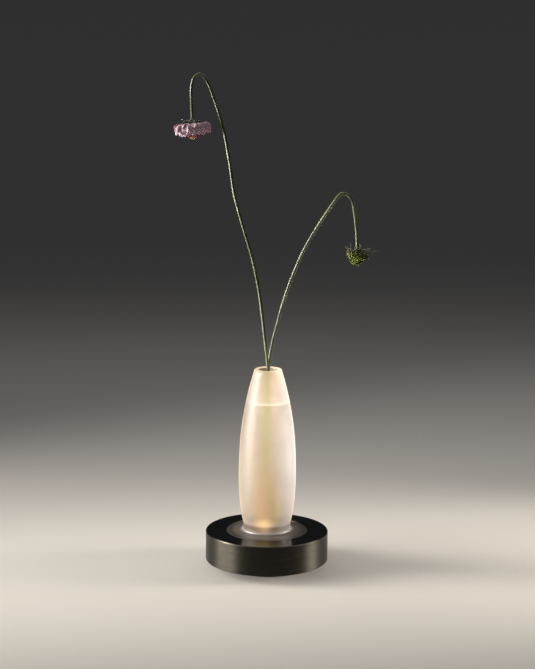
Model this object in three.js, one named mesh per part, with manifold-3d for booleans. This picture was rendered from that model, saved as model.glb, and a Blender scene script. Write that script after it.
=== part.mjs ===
// Two nodding scabious stems in a frosted glass bud vase, which stands on a lit metal drum.
// Millimetres, +Z up. The origin is the centre of the foot pad's underside, and the front is -Y.

import * as THREE from "three";
import { mergeVertices } from "three/addons/utils/BufferGeometryUtils.js";
import Module from "manifold-3d";

const wasm = await Module();
wasm.setup();

// ---- Driving dimensions ----

const GAP = 0.3; // clearance between pieces that only lie against each other
const SINK = 1; // how far a fused piece reaches into what it grows from

// Drum of the base, seen from below: pad, foot, plate, drum
const PAD_RADIUS = 39;
const PAD_HEIGHT = 1.5;
const FOOT_RADIUS = 40;
const DRUM_RADIUS = 65;
const DRUM_BOTTOM = 9;
const DRUM_TOP = 40;
const DRUM_WALL = 3;
const DRUM_DECK = 6.5; // thickness of the drum's top
const DRUM_CHAMFER = 0.7;
const PLATE_RADIUS = 62.9;
const PLATE_BOTTOM = 9.5;
const PLATE_TOP = 12.5;

// Screws that hold the plate to the drum's bosses
const SCREW_COUNT = 3;
const SCREW_CIRCLE = 55;
const FIRST_SCREW = Math.PI / 6; // azimuth of the first screw
const SCREW_RADIUS = 1.5;
const SCREW_HEAD_RADIUS = 2.8;
const SCREW_HEAD_HEIGHT = 1.6;
const SCREW_LENGTH = 11;
const BOSS_RADIUS = 4;

// Frosted disc let into the drum's deck
const DISC_RADIUS = 42.8;
const DISC_BOTTOM = 36;
const LIGHT_OPENING = 37.5; // radius of the hole in the deck under the disc
const SEAT_RADIUS = 25.2; // inside of the low collar that the vase stands in
const COLLAR_WIDTH = 1.2;
const COLLAR_HEIGHT = 2.6;
const COLLAR_FLARE = 3.8; // how far the collar's outside sweeps out onto the disc

// Light and power inside the drum
const CARRIER_RADIUS = 34;
const CARRIER_BOTTOM = 28.4;
const CARRIER_THICKNESS = 2;
const POST_RADIUS = 2.5;
const POST_CIRCLE = 30;
const POST_COUNT = 3;
const LED_BOARD_RADIUS = 22;
const BOARD_THICKNESS = 1.6;
const LED_SIZE = 3;
const LED_HEIGHT = 0.8;
const LED_CIRCLE = 14;
const LED_COUNT = 8;
const BATTERY = { width: 48, depth: 35, height: 8, y: 6.5 };
const CHARGE_BOARD = { width: 28, front: 34, back: 59, bottom: 16, legRadius: 2, legInset: 3.5 };
const SOCKET = { width: 9, depth: 7.4, height: 3.2, face: 60, mouth: [8.3, 2.5], reach: 6 };
const TONGUE = { width: 6.7, depth: 6, height: 0.7, front: 1 }; // front: how far it stays inside the face
const CHARGE_SLOT = { width: 13, height: 7 }; // hole in the drum's wall, which a plug's grip passes

// Vase
const VASE_BOTTOM = DRUM_TOP;
const VASE_TOP = 213.4;
const VASE_SEGMENTS = 32;
const VASE_FOOT = 23.7; // radius of the flat that it stands on
const LIP_RADIUS = 12; // radius of the circle along the lip's crown
const LIP_ROUND = 0.45; // drop from the lip's crown to either side of it
const GLASS_FLOOR = 48.8; // top of the thick glass bottom
const WATER_LEVEL = 179;
const WATER_GAP = 0.35; // between the water and the glass
const STEM_GAP = 0.5; // between the water and a stem

// Flowers
const PINK_STEM_RADIUS = 1.6;
const SEED_STEM_RADIUS = 1.8;
const STEM_SIDES = 6;
const HOLE_SIDES = 8; // of a stem's hole in the water
const HOLE_RUN_OUT = 3; // how far a hole starts below its stem's foot
const STEPS_PER_POINT = 3; // steps of a stem from one of its points to the next
const BLADE = 0.65; // thickness of petals and bracts

// ---- Helpers ----

// A closed three.js geometry as a solid.
function solid(geometry) {
  const bare = geometry.clone();
  bare.deleteAttribute("normal");
  bare.deleteAttribute("uv");
  const merged = mergeVertices(bare, 1e-4);
  return new wasm.Manifold(
    new wasm.Mesh({
      numProp: 3,
      vertProperties: new Float32Array(merged.attributes.position.array),
      triVerts: new Uint32Array(merged.index.array),
    }),
  );
}

// Joins solids, and keeps the largest body without the hollows that the joining sealed.
function fuse(solids) {
  const joined = solids.reduce((all, next) => all.add(next));
  return joined.decompose().reduce((a, b) => (a.volume() > b.volume() ? a : b));
}

function geometryOf(body) {
  const mesh = body.getMesh();
  const geometry = new THREE.BufferGeometry();
  geometry.setAttribute("position", new THREE.BufferAttribute(mesh.vertProperties, 3));
  geometry.setIndex(new THREE.BufferAttribute(mesh.triVerts, 1));
  geometry.computeVertexNormals();
  return geometry;
}

// A profile of [radius, height] pairs turned round the Z axis, listed anticlockwise round its section.
function turned(profile, segments) {
  const points = profile.map(([r, z]) => new THREE.Vector2(r, z));
  return new THREE.LatheGeometry(points, segments).rotateX(Math.PI / 2);
}

function rod(radius, bottom, top, x, y, sides = 16) {
  const cylinder = new THREE.CylinderGeometry(radius, radius, top - bottom, sides);
  return cylinder.rotateX(Math.PI / 2).translate(x, y, (bottom + top) / 2);
}

function box(width, depth, bottom, top, x, y) {
  return new THREE.BoxGeometry(width, depth, top - bottom).translate(x, y, (bottom + top) / 2);
}

// A round-ended slot, wide along X and tall along Z, running along Y.
function slot(width, height, front, back, z) {
  const reach = width / 2 - height / 2;
  const outline = new THREE.Shape();
  outline.absarc(reach, 0, height / 2, -Math.PI / 2, Math.PI / 2);
  outline.absarc(-reach, 0, height / 2, Math.PI / 2, (3 * Math.PI) / 2);
  const bar = new THREE.ExtrudeGeometry(outline, {
    depth: back - front,
    bevelEnabled: false,
    curveSegments: 4,
  });
  return bar.rotateX(Math.PI / 2).translate(0, back, z);
}

function onCircle(radius, index, count, start = 0) {
  const angle = start + (index * 2 * Math.PI) / count;
  return [radius * Math.cos(angle), radius * Math.sin(angle)];
}

// A smooth curve whose steps crowd where its points do, so that a tight arch stays round.
class StemCurve extends THREE.CatmullRomCurve3 {
  constructor(points) {
    const places = points.map(([x, y, z]) => new THREE.Vector3(x, y, z));
    super(places, false, "centripetal");
    this.steps = STEPS_PER_POINT * (points.length - 1);
  }
  getPointAt(t, target) {
    return this.getPoint(t, target);
  }
  getTangentAt(t, target) {
    return this.getTangent(t, target);
  }
}

// A round tube along a curve, closed at both ends.
function tube(curve, radius, sides) {
  const section = new THREE.Shape();
  for (let i = 0; i < sides; i++) {
    const [x, y] = onCircle(radius, i, sides);
    if (i === 0) section.moveTo(x, y);
    else section.lineTo(x, y);
  }
  const options = { steps: curve.steps, extrudePath: curve, bevelEnabled: false };
  return new THREE.ExtrudeGeometry(section, options);
}

// Seeded random numbers between 0 and 1.
function seeded(seed) {
  let state = seed;
  return () => {
    state = (state * 1664525 + 1013904223) % 4294967296;
    return state / 4294967296;
  };
}

// A thin blade along a midline that lies in the XZ plane. halfWidth(v) is half its width at v, from 0
// at the root to 1 at the tip, edge(u) is the share of its length reached at u, from -1 to 1 across,
// and wave(u, v) lifts it off its midline. Both faces are split into triangles alike.
function blade({ midline, halfWidth, across, along, edge = () => 1, wave = () => 0 }) {
  const positions = [];
  const index = [];
  const width = across + 1;
  const layer = width * (along + 1);
  const sideways = new THREE.Vector3(0, 1, 0);
  for (const side of [0.5, -0.5]) {
    for (let j = 0; j <= along; j++) {
      for (let i = 0; i <= across; i++) {
        const u = (2 * i) / across - 1;
        const v = (j / along) * edge(u);
        const lift = new THREE.Vector3().crossVectors(midline.getTangent(v), sideways);
        const place = midline.getPoint(v).addScaledVector(lift, side * BLADE + wave(u, v));
        place.y += u * halfWidth(v);
        positions.push(place.x, place.y, place.z);
      }
    }
  }
  const facet = (a, b, c) => {
    index.push(a, b, c);
    index.push(a + layer, c + layer, b + layer);
  };
  for (let j = 0; j < along; j++) {
    for (let i = 0; i < across; i++) {
      const a = j * width + i;
      facet(a, a + width + 1, a + 1);
      facet(a, a + width, a + width + 1);
    }
  }
  const rim = [];
  for (let j = 0; j < along; j++) rim.push(j * width);
  for (let i = 0; i < across; i++) rim.push(along * width + i);
  for (let j = along; j > 0; j--) rim.push(j * width + across);
  for (let i = across; i > 0; i--) rim.push(i);
  rim.forEach((p, k) => {
    const q = rim[(k + 1) % rim.length];
    index.push(q, p, p + layer, q, p + layer, q + layer);
  });
  const geometry = new THREE.BufferGeometry();
  geometry.setAttribute("position", new THREE.Float32BufferAttribute(positions, 3));
  geometry.setIndex(index);
  return geometry;
}

// A bend in the XZ plane from one [x, z] to another, drawn towards a third.
function bend([x0, z0], [x1, z1], [x2, z2]) {
  return new THREE.QuadraticBezierCurve3(
    new THREE.Vector3(x0, 0, z0),
    new THREE.Vector3(x1, 0, z1),
    new THREE.Vector3(x2, 0, z2),
  );
}

const part = new THREE.Group();

function addPiece(name, geometry, color, roughness, metalness, extra = {}) {
  const material = new THREE.MeshStandardMaterial({ color, roughness, metalness, ...extra });
  const mesh = new THREE.Mesh(geometry, material);
  mesh.name = name;
  part.add(mesh);
}

// ---- Foot pad and base plate ----

const padProfile = [
  [0, 0],
  [PAD_RADIUS, 0],
  [PAD_RADIUS, PAD_HEIGHT],
  [0, PAD_HEIGHT],
];
addPiece("rubber_foot_pad", turned(padProfile, 36), 0x161616, 0.9, 0);

const plateProfile = [
  [0, PAD_HEIGHT],
  [FOOT_RADIUS - DRUM_CHAMFER, PAD_HEIGHT],
  [FOOT_RADIUS, PAD_HEIGHT + DRUM_CHAMFER],
  [FOOT_RADIUS, PLATE_BOTTOM],
  [PLATE_RADIUS, PLATE_BOTTOM],
  [PLATE_RADIUS, PLATE_TOP],
  [0, PLATE_TOP],
];
const screwPlaces = [];
for (let i = 0; i < SCREW_COUNT; i++) {
  screwPlaces.push(onCircle(SCREW_CIRCLE, i, SCREW_COUNT, FIRST_SCREW));
}
const headTop = PLATE_BOTTOM + SCREW_HEAD_HEIGHT;
const screwTop = PLATE_BOTTOM + SCREW_LENGTH;
let basePlate = solid(turned(plateProfile, 40));
for (const [x, y] of screwPlaces) {
  const hole = rod(SCREW_RADIUS + GAP, PLATE_BOTTOM - SINK, PLATE_TOP + SINK, x, y, 12);
  const sunkHead = rod(SCREW_HEAD_RADIUS + GAP, PLATE_BOTTOM - SINK, headTop, x, y, 12);
  basePlate = basePlate.subtract(solid(hole)).subtract(solid(sunkHead));
}
addPiece("base_plate", geometryOf(basePlate), 0x24221f, 0.45, 0.9);

screwPlaces.forEach(([x, y], i) => {
  const head = rod(SCREW_HEAD_RADIUS, PLATE_BOTTOM, headTop, x, y, 12);
  const shank = rod(SCREW_RADIUS, headTop - SINK, screwTop, x, y, 12);
  addPiece(`base_screw_${i + 1}`, geometryOf(fuse([solid(head), solid(shank)])), 0x2b2b2b, 0.4, 1);
});

// ---- Drum ----

const DECK_BOTTOM = DRUM_TOP - DRUM_DECK;
const DRUM_INSIDE = DRUM_RADIUS - DRUM_WALL;
const drumProfile = [
  [DRUM_RADIUS - DRUM_CHAMFER, DRUM_BOTTOM],
  [DRUM_RADIUS, DRUM_BOTTOM + DRUM_CHAMFER],
  [DRUM_RADIUS, DRUM_TOP - DRUM_CHAMFER],
  [DRUM_RADIUS - DRUM_CHAMFER, DRUM_TOP],
  [DISC_RADIUS + GAP, DRUM_TOP],
  [DISC_RADIUS + GAP, DISC_BOTTOM],
  [LIGHT_OPENING, DISC_BOTTOM],
  [LIGHT_OPENING, DECK_BOTTOM],
  [DRUM_INSIDE, DECK_BOTTOM],
  [DRUM_INSIDE, PLATE_TOP],
  [PLATE_RADIUS + GAP, PLATE_TOP],
  [PLATE_RADIUS + GAP, DRUM_BOTTOM],
  [DRUM_RADIUS - DRUM_CHAMFER, DRUM_BOTTOM],
];
const socketHeight = CHARGE_BOARD.bottom + BOARD_THICKNESS + SOCKET.height / 2;
const chargeSlot = slot(
  CHARGE_SLOT.width,
  CHARGE_SLOT.height,
  DRUM_INSIDE - DRUM_WALL,
  DRUM_RADIUS + DRUM_WALL,
  socketHeight,
);
let drum = solid(turned(drumProfile, 48));
for (const [x, y] of screwPlaces) {
  const boss = rod(BOSS_RADIUS, PLATE_TOP, DECK_BOTTOM + SINK, x, y, 14);
  const thread = rod(SCREW_RADIUS + GAP, PLATE_TOP - SINK, screwTop + SINK, x, y, 12);
  drum = drum.add(solid(boss)).subtract(solid(thread));
}
drum = drum.subtract(solid(chargeSlot));
addPiece("base_drum", geometryOf(drum), 0x47433c, 0.32, 1);

// ---- Light, battery and charging inlet ----

const carrierTop = CARRIER_BOTTOM + CARRIER_THICKNESS;
const carrierPieces = [rod(CARRIER_RADIUS, CARRIER_BOTTOM, carrierTop, 0, 0, 36)];
for (let i = 0; i < POST_COUNT; i++) {
  const [x, y] = onCircle(POST_CIRCLE, i, POST_COUNT, Math.PI / 2);
  carrierPieces.push(rod(POST_RADIUS, PLATE_TOP, CARRIER_BOTTOM + SINK, x, y, 10));
}
addPiece("led_carrier", geometryOf(fuse(carrierPieces.map(solid))), 0xb9babc, 0.4, 1);

const ledFace = carrierTop + BOARD_THICKNESS;
const ledPieces = [
  rod(LED_BOARD_RADIUS, carrierTop, ledFace, 0, 0, 32),
  box(LED_SIZE, LED_SIZE, ledFace - SINK, ledFace + LED_HEIGHT, 0, 0),
];
for (let i = 0; i < LED_COUNT; i++) {
  const [x, y] = onCircle(LED_CIRCLE, i, LED_COUNT);
  ledPieces.push(box(LED_SIZE, LED_SIZE, ledFace - SINK, ledFace + LED_HEIGHT, x, y));
}
addPiece("led_board", geometryOf(fuse(ledPieces.map(solid))), 0xf0eee6, 0.5, 0, {
  emissive: 0xffd9a0,
});

const battery = box(BATTERY.width, BATTERY.depth, PLATE_TOP, PLATE_TOP + BATTERY.height, 0, BATTERY.y);
addPiece("battery_pack", battery, 0x5a5e63, 0.5, 0.2);

const boardDepth = CHARGE_BOARD.back - CHARGE_BOARD.front;
const boardMiddle = (CHARGE_BOARD.back + CHARGE_BOARD.front) / 2;
const boardTop = CHARGE_BOARD.bottom + BOARD_THICKNESS;
const boardPieces = [
  box(CHARGE_BOARD.width, boardDepth, CHARGE_BOARD.bottom, boardTop, 0, boardMiddle),
];
const { legRadius, legInset } = CHARGE_BOARD;
for (const x of [-1, 1]) {
  for (const y of [CHARGE_BOARD.front + legInset, CHARGE_BOARD.back - legInset]) {
    const legX = x * (CHARGE_BOARD.width / 2 - legInset);
    boardPieces.push(rod(legRadius, PLATE_TOP, CHARGE_BOARD.bottom + SINK, legX, y, 10));
  }
}
addPiece("charge_board", geometryOf(fuse(boardPieces.map(solid))), 0x21513a, 0.5, 0.1);

const socketMiddle = SOCKET.face - SOCKET.depth / 2;
const socketTop = boardTop + SOCKET.height;
const socketShell = solid(box(SOCKET.width, SOCKET.depth, boardTop, socketTop, 0, socketMiddle));
const mouthInner = SOCKET.face - SOCKET.reach;
const socketMouth = slot(...SOCKET.mouth, mouthInner, SOCKET.face + SINK, socketHeight);
const tongue = box(
  TONGUE.width,
  TONGUE.depth,
  socketHeight - TONGUE.height / 2,
  socketHeight + TONGUE.height / 2,
  0,
  SOCKET.face - TONGUE.front - TONGUE.depth / 2,
);
const chargeSocket = socketShell.subtract(solid(socketMouth)).add(solid(tongue));
addPiece("charge_socket", geometryOf(chargeSocket), 0xb9bcc0, 0.3, 1);

// ---- Frosted disc ----

// The collar's outside is a quarter arc that sweeps down onto the disc.
const collarOutside = SEAT_RADIUS + COLLAR_WIDTH;
const FLARE_STEPS = 4;
const flareProfile = [];
for (let i = 0; i <= FLARE_STEPS; i++) {
  const angle = (i / FLARE_STEPS) * (Math.PI / 2);
  flareProfile.push([
    collarOutside + COLLAR_FLARE * (1 - Math.sin(angle)),
    DRUM_TOP + COLLAR_HEIGHT * (1 - Math.cos(angle)),
  ]);
}
const discProfile = [
  [0, DISC_BOTTOM],
  [DISC_RADIUS, DISC_BOTTOM],
  [DISC_RADIUS, DRUM_TOP - GAP],
  [DISC_RADIUS - GAP, DRUM_TOP],
  ...flareProfile,
  [SEAT_RADIUS, DRUM_TOP + COLLAR_HEIGHT],
  [SEAT_RADIUS, DRUM_TOP],
  [0, DRUM_TOP],
];
addPiece("light_disc", turned(discProfile, 40), 0xd8d3cb, 0.45, 0, { emissive: 0x2e2a26 });

// ---- Vase and water ----

// Silhouette of the glass from foot to lip, and the inside of its wall from lip to floor.
const vaseOutside = new THREE.SplineCurve(
  [
    [24.7, 41],
    [24.9, 46.5],
    [27.6, 60],
    [29.6, 79],
    [30.3, 102],
    [29.7, 126],
    [27.8, 150],
    [24.2, 173],
    [19.6, 194],
    [14.6, 211.8],
  ].map(([r, z]) => new THREE.Vector2(r, z)),
);
const vaseInside = new THREE.SplineCurve(
  [
    [9.5, 211.6],
    [9.7, 209],
    [15.4, 192],
    [19.9, 172],
    [23.5, 149],
    [25.5, 126],
    [26.1, 102],
    [25.4, 80],
    [23.4, 63],
    [19.6, 52.5],
    [13, GLASS_FLOOR],
  ].map(([r, z]) => new THREE.Vector2(r, z)),
);
const pairs = (curve, steps) => curve.getPoints(steps).map((p) => [p.x, p.y]);
const insideWall = pairs(vaseInside, 12);
const vaseProfile = [
  [0, VASE_BOTTOM],
  [VASE_FOOT, VASE_BOTTOM],
  ...pairs(vaseOutside, 14),
  [LIP_RADIUS + 1.7, VASE_TOP - LIP_ROUND],
  [LIP_RADIUS, VASE_TOP],
  [LIP_RADIUS - 1.6, VASE_TOP - LIP_ROUND],
  ...insideWall,
  [0, GLASS_FLOOR],
];
addPiece("vase", turned(vaseProfile, VASE_SEGMENTS), 0xf3e7da, 0.55, 0, {
  emissive: 0x6b5846,
});

// ---- Stems ----

// Each stem from its foot on the glass floor, through the lip, over its arch to the flower's back.
const POINTS_IN_VASE = 4; // of each stem's points, from its foot to the lip
const pinkStemCurve = new StemCurve([
  [10, -8, 50],
  [6.4, -5.8, 110],
  [2.9, -3.8, 170],
  [0.3, -2.1, 212.5],
  [-3.7, -0.8, 246],
  [-10.3, 1.4, 296],
  [-17.4, 2.6, 329.5],
  [-27.4, 3.9, 362.5],
  [-36.4, 5.2, 395.5],
  [-41.4, 6.5, 428],
  [-47.8, 7.7, 461],
  [-57.9, 8.9, 493],
  [-66.2, 9.6, 512],
  [-72.8, 9.9, 519.3],
  [-78.9, 9.9, 515.3],
  [-81, 9.8, 503],
  [-80.8, 9.5, 487],
  [-80, 9.3, 471.7],
]);
const seedStemCurve = new StemCurve([
  [-9, 7, 50],
  [-5.6, 5.4, 110],
  [-2, 3.7, 170],
  [0.9, 2.2, 212],
  [3.8, 1.2, 237.5],
  [9.6, 0.2, 263],
  [16.8, -0.6, 288.5],
  [25.5, -1.4, 313.5],
  [36.3, -2.2, 338.5],
  [50.4, -3, 363.5],
  [66.4, -3.8, 388],
  [70.9, -4, 394.3],
  [74.9, -4.1, 397],
  [81.5, -4.1, 394.5],
  [85.4, -4, 388.5],
  [87.8, -3.8, 376],
  [90.1, -3.2, 360],
  [91.3, -2.6, 341.6],
]);
// The water follows the inside of the glass up to its level, and each stem stands in a plain hole in it.
const waterProfile = [[0, WATER_LEVEL]];
const wallAbove = insideWall.findLastIndex(([, z]) => z > WATER_LEVEL);
const [[rAbove, zAbove], [rBelow, zBelow]] = insideWall.slice(wallAbove, wallAbove + 2);
const share = (zAbove - WATER_LEVEL) / (zAbove - zBelow);
waterProfile.push([rAbove + share * (rBelow - rAbove) - WATER_GAP, WATER_LEVEL]);
for (const [r, z] of insideWall.slice(wallAbove + 1)) waterProfile.push([r - WATER_GAP, z + WATER_GAP]);
waterProfile.push([0, GLASS_FLOOR + WATER_GAP]);
let water = solid(turned(waterProfile.reverse(), VASE_SEGMENTS));
const standingStems = [
  [pinkStemCurve, PINK_STEM_RADIUS],
  [seedStemCurve, SEED_STEM_RADIUS],
];
for (const [curve, radius] of standingStems) {
  const below = curve.getPoint(0).addScaledVector(curve.getTangent(0), -HOLE_RUN_OUT);
  const inVase = curve.points.slice(0, POINTS_IN_VASE + 1);
  const route = new StemCurve([below, ...inVase].map((p) => p.toArray()));
  water = water.subtract(solid(tube(route, radius + STEM_GAP, HOLE_SIDES)));
}
addPiece("water", geometryOf(water), 0xdfe8e2, 0.1, 0);

// ---- Flowers ----

// A flower's own axis starts where its stem ends and points out of its face, which hangs down. Its
// pieces are built round +Z and turned as one.
function hang(geometry, place, tiltX, tiltY) {
  const turn = new THREE.Matrix4().makeRotationFromEuler(
    new THREE.Euler(Math.PI + tiltX, tiltY, 0),
  );
  return geometry.applyMatrix4(turn).translate(place.x, place.y, place.z);
}

const lanceolate = (half) => (v) => half * (0.55 + 0.9 * v) * Math.sqrt(Math.max(1 - v, 0.01));

function bract(root, middle, tip, half, azimuth) {
  const shape = blade({
    midline: bend(root, middle, tip),
    halfWidth: lanceolate(half),
    across: 1,
    along: 4,
  });
  return shape.rotateZ(azimuth);
}

// A pincushion of petals: each layer is a ring of ruffled, notched blades that start in the core, and
// those on the open side are shorter by a share.
function petalRing({ count, turn, root, middle, tip, half, ruffle, shorter }, random) {
  const petals = [];
  for (let i = 0; i < count; i++) {
    const azimuth = turn + (i * 2 * Math.PI) / count + (random() - 0.5) * 0.16;
    const phase = random() * Math.PI;
    const open = Math.max(0, Math.cos(azimuth - OPEN_SIDE));
    const reach = (0.93 + random() * 0.07) * (1 - shorter * open);
    const petal = blade({
      midline: bend(root, middle, tip),
      halfWidth: (v) => half * (0.35 + 0.65 * Math.sin((v * Math.PI) / 2)),
      edge: (u) => reach * (0.9 + 0.1 * Math.cos(3 * Math.PI * u)),
      wave: (u, v) => ruffle * v * Math.sin(2 * Math.PI * u + phase),
      across: 5,
      along: 2,
    });
    petals.push(petal.rotateZ(azimuth));
  }
  return petals;
}

// A stretched bead that grows out of a dome at an angle from its axis.
function bead(radius, length, sides, rings = 3) {
  return new THREE.SphereGeometry(radius, sides, rings)
    .rotateX(Math.PI / 2)
    .scale(1, 1, length / (2 * radius));
}

// Turns a piece that stands on +Z out to an angle from the axis, and round it, at a place on a dome.
function standing(geometry, radius, height, lean, azimuth) {
  return geometry.rotateY(lean).translate(radius, 0, height).rotateZ(azimuth);
}

const GOLDEN_ANGLE = Math.PI * (3 - Math.sqrt(5));

// -- Pink flower --

const PINK_TILT = [-0.08, 0.03];
const pinkPlace = pinkStemCurve.getPoint(1);

// The green back of the flower: a shallow cone with a ring of bracts, one with the stem.
const pinkBack = turned(
  [
    [0, -2],
    [PINK_STEM_RADIUS, -2],
    [2.4, 0],
    [5.4, 1.8],
    [5.4, 2.5],
    [0, 2.5],
  ],
  12,
);
const pinkGreens = [pinkBack];
const PINK_BRACTS = 10;
const upturned = 5; // the bract on the left curls up past the flower's back
for (let i = 0; i < PINK_BRACTS; i++) {
  const curl = i === upturned ? -4 : -0.6 * (i % 2);
  const long = i % 2 === 0 ? 10.5 : 9;
  const shape = bract([3, 1.1], [7, 1.6], [long, 1.2 + curl], 1.7, (i * 2 * Math.PI) / PINK_BRACTS);
  pinkGreens.push(shape);
}
const pinkStem = [
  solid(tube(pinkStemCurve, PINK_STEM_RADIUS, STEM_SIDES)),
  ...pinkGreens.map((g) => solid(hang(g, pinkPlace, ...PINK_TILT))),
];
addPiece("pink_flower_stem", geometryOf(fuse(pinkStem)), 0x93a56c, 0.55, 0);

// Petals in four layers round a flattened core, the outermost laid flat against the bracts.
const petalCore = turned(
  [
    [0, 3],
    [7.5, 3.2],
    [9.6, 5.2],
    [9.8, 8],
    [8.8, 11],
    [7.4, 12.7],
    [0, 12.7],
  ],
  14,
);
const OPEN_SIDE = Math.PI / 3; // where the florets show between the petals: in front, to the right
const petalRandom = seeded(11);
const petalLayers = [
  {
    count: 8, turn: 0, root: [6.5, 4.6], middle: [21.4, 2], tip: [18.2, 12.5],
    half: 6.6, ruffle: 0.8, shorter: 0,
  },
  {
    count: 8, turn: 0.4, root: [7, 7], middle: [18, 5.4], tip: [16.4, 15.4],
    half: 5.6, ruffle: 0.8, shorter: 0.1,
  },
  {
    count: 7, turn: 0.1, root: [7, 9.4], middle: [14, 8.8], tip: [13.6, 17.8],
    half: 4.8, ruffle: 0.6, shorter: 0.3,
  },
  {
    count: 6, turn: 0.5, root: [7.4, 11.4], middle: [11.4, 12], tip: [10.9, 17.8],
    half: 3.8, ruffle: 0.5, shorter: 0.4,
  },
];
const petals = petalLayers.flatMap((layer) => petalRing(layer, petalRandom));
const pinkPetals = [petalCore, ...petals].map((g) => solid(hang(g, pinkPlace, ...PINK_TILT)));
addPiece("pink_flower_petals", geometryOf(fuse(pinkPetals)), 0xe6c9d2, 0.6, 0);

// Crimson florets packed over a low dome, and a few cream pins on a smaller one at its tip.
const floretDome = turned(
  [
    [0, 13],
    [6.6, 13],
    [6.4, 14.4],
    [4.8, 15.8],
    [3.1, 16.3],
    [0, 16.3],
  ],
  12,
);
const florets = [floretDome];
const FLORETS = 24;
for (let i = 0; i < FLORETS; i++) {
  const share = (i + 0.5) / FLORETS;
  const radius = 4.1 + 3.2 * share;
  const height = 16.6 - 2 * share * share;
  const piece = bead(1.1, 3.4, 4);
  florets.push(standing(piece, radius, height, 0.15 + 0.6 * share, i * GOLDEN_ANGLE));
}
const pinkFlorets = florets.map((g) => solid(hang(g, pinkPlace, ...PINK_TILT)));
addPiece("pink_flower_florets", geometryOf(fuse(pinkFlorets)), 0x8a2b40, 0.5, 0);

const pinDome = turned(
  [
    [0, 16.6],
    [2.3, 16.6],
    [2.3, 17.6],
    [1.4, 18.6],
    [0, 18.9],
  ],
  10,
);
const pins = [pinDome];
const PINS = 9;
for (let i = 0; i < PINS; i++) {
  const share = (i + 0.5) / PINS;
  const radius = 2.1 * Math.sqrt(share);
  const piece = bead(0.7, 2.8, 4);
  pins.push(standing(piece, radius, 19.7 - 0.9 * share, 0.5 * share, i * GOLDEN_ANGLE));
}
const pinkPins = pins.map((g) => solid(hang(g, pinkPlace, ...PINK_TILT)));
addPiece("pink_flower_pins", geometryOf(fuse(pinkPins)), 0xe8cf9c, 0.6, 0);

// -- Green seed head --

const SEED_TILT = [0.03, 0.04];
const seedPlace = seedStemCurve.getPoint(1);

const seedBack = turned(
  [
    [0, -2],
    [SEED_STEM_RADIUS, -2],
    [2.2, 0],
    [3.6, 2.2],
    [4.6, 4.1],
    [0, 4.1],
  ],
  12,
);
// Thin bracts bent back off the head: where each points, how far it reaches, and how its tip lies.
const SEED_BRACTS = [
  { azimuth: 180, tip: [12.5, -3.4], middle: [11, 2.4], half: 1 },
  { azimuth: 215, tip: [8.2, -5.4], middle: [9.6, 1.6], half: 0.8 },
  { azimuth: 250, tip: [7.5, -4.6], middle: [9, 1.4], half: 0.8 },
  { azimuth: 285, tip: [7.8, -4.7], middle: [9, 1.6], half: 0.9 },
  { azimuth: 320, tip: [9, -0.6], middle: [8, 2.2], half: 1.4 },
  { azimuth: 345, tip: [20, 9.4], middle: [13, 1.6], half: 1.2 },
  { azimuth: 2, tip: [23, 4.6], middle: [14, 4], half: 1.2 },
  { azimuth: 25, tip: [17, 1.4], middle: [12, 3.2], half: 1.1 },
  { azimuth: 65, tip: [11, -2.4], middle: [10, 2], half: 1 },
  { azimuth: 105, tip: [9, -4], middle: [9.5, 1.6], half: 0.9 },
  { azimuth: 145, tip: [12, -1], middle: [10, 2.4], half: 1 },
];
const seedGreens = [seedBack];
for (const { azimuth, tip, middle, half } of SEED_BRACTS) {
  seedGreens.push(bract([2.6, 2.6], middle, tip, half, THREE.MathUtils.degToRad(-azimuth)));
}
const seedStem = [
  solid(tube(seedStemCurve, SEED_STEM_RADIUS, STEM_SIDES)),
  ...seedGreens.map((g) => solid(hang(g, seedPlace, ...SEED_TILT))),
];
addPiece("seed_head_stem", geometryOf(fuse(seedStem)), 0x8d9f6c, 0.55, 0);

// The head: a wide shoulder and a dome, packed all over with small buds on a spiral.
const headOutline = new THREE.SplineCurve(
  [
    [4.6, 4.5],
    [8.2, 6],
    [8.8, 8.6],
    [6.8, 11.2],
    [5.6, 14.2],
    [3.6, 16.6],
    [0, 17.6],
  ].map(([r, z]) => new THREE.Vector2(r, z)),
);
const headCore = turned([[0, 4.4], ...pairs(headOutline, 7)], 10);
const head = [headCore];
const BUDS = 56;

// Places along an outline, from a start that leaves room for the bracts, which share out its turned
// area evenly between the buds.
function evenShares(outline, start, count) {
  const steps = 60;
  const areas = [0];
  for (let k = 1; k <= steps; k++) {
    const middle = start + ((1 - start) * (k - 0.5)) / steps;
    areas.push(areas[k - 1] + outline.getPointAt(middle).x);
  }
  return Array.from({ length: count }, (_, i) => {
    const wanted = (areas[steps] * (i + 0.5)) / count;
    const step = areas.findIndex((area) => area >= wanted);
    return start + ((1 - start) * step) / steps;
  });
}

evenShares(headOutline, 0.16, BUDS).forEach((share, i) => {
  const place = headOutline.getPointAt(share);
  const along = headOutline.getTangentAt(share);
  const lean = Math.atan2(along.y, -along.x);
  const piece = bead(1.8, 3.4 + (i % 3) * 0.5, 4);
  head.push(standing(piece, place.x, place.y, lean, i * GOLDEN_ANGLE));
});
const seedHead = head.map((g) => solid(hang(g, seedPlace, ...SEED_TILT)));
addPiece("seed_head", geometryOf(fuse(seedHead)), 0x9aa653, 0.6, 0);

export default part;
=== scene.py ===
import math
import random

import bpy
from mathutils import Matrix, Vector


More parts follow.
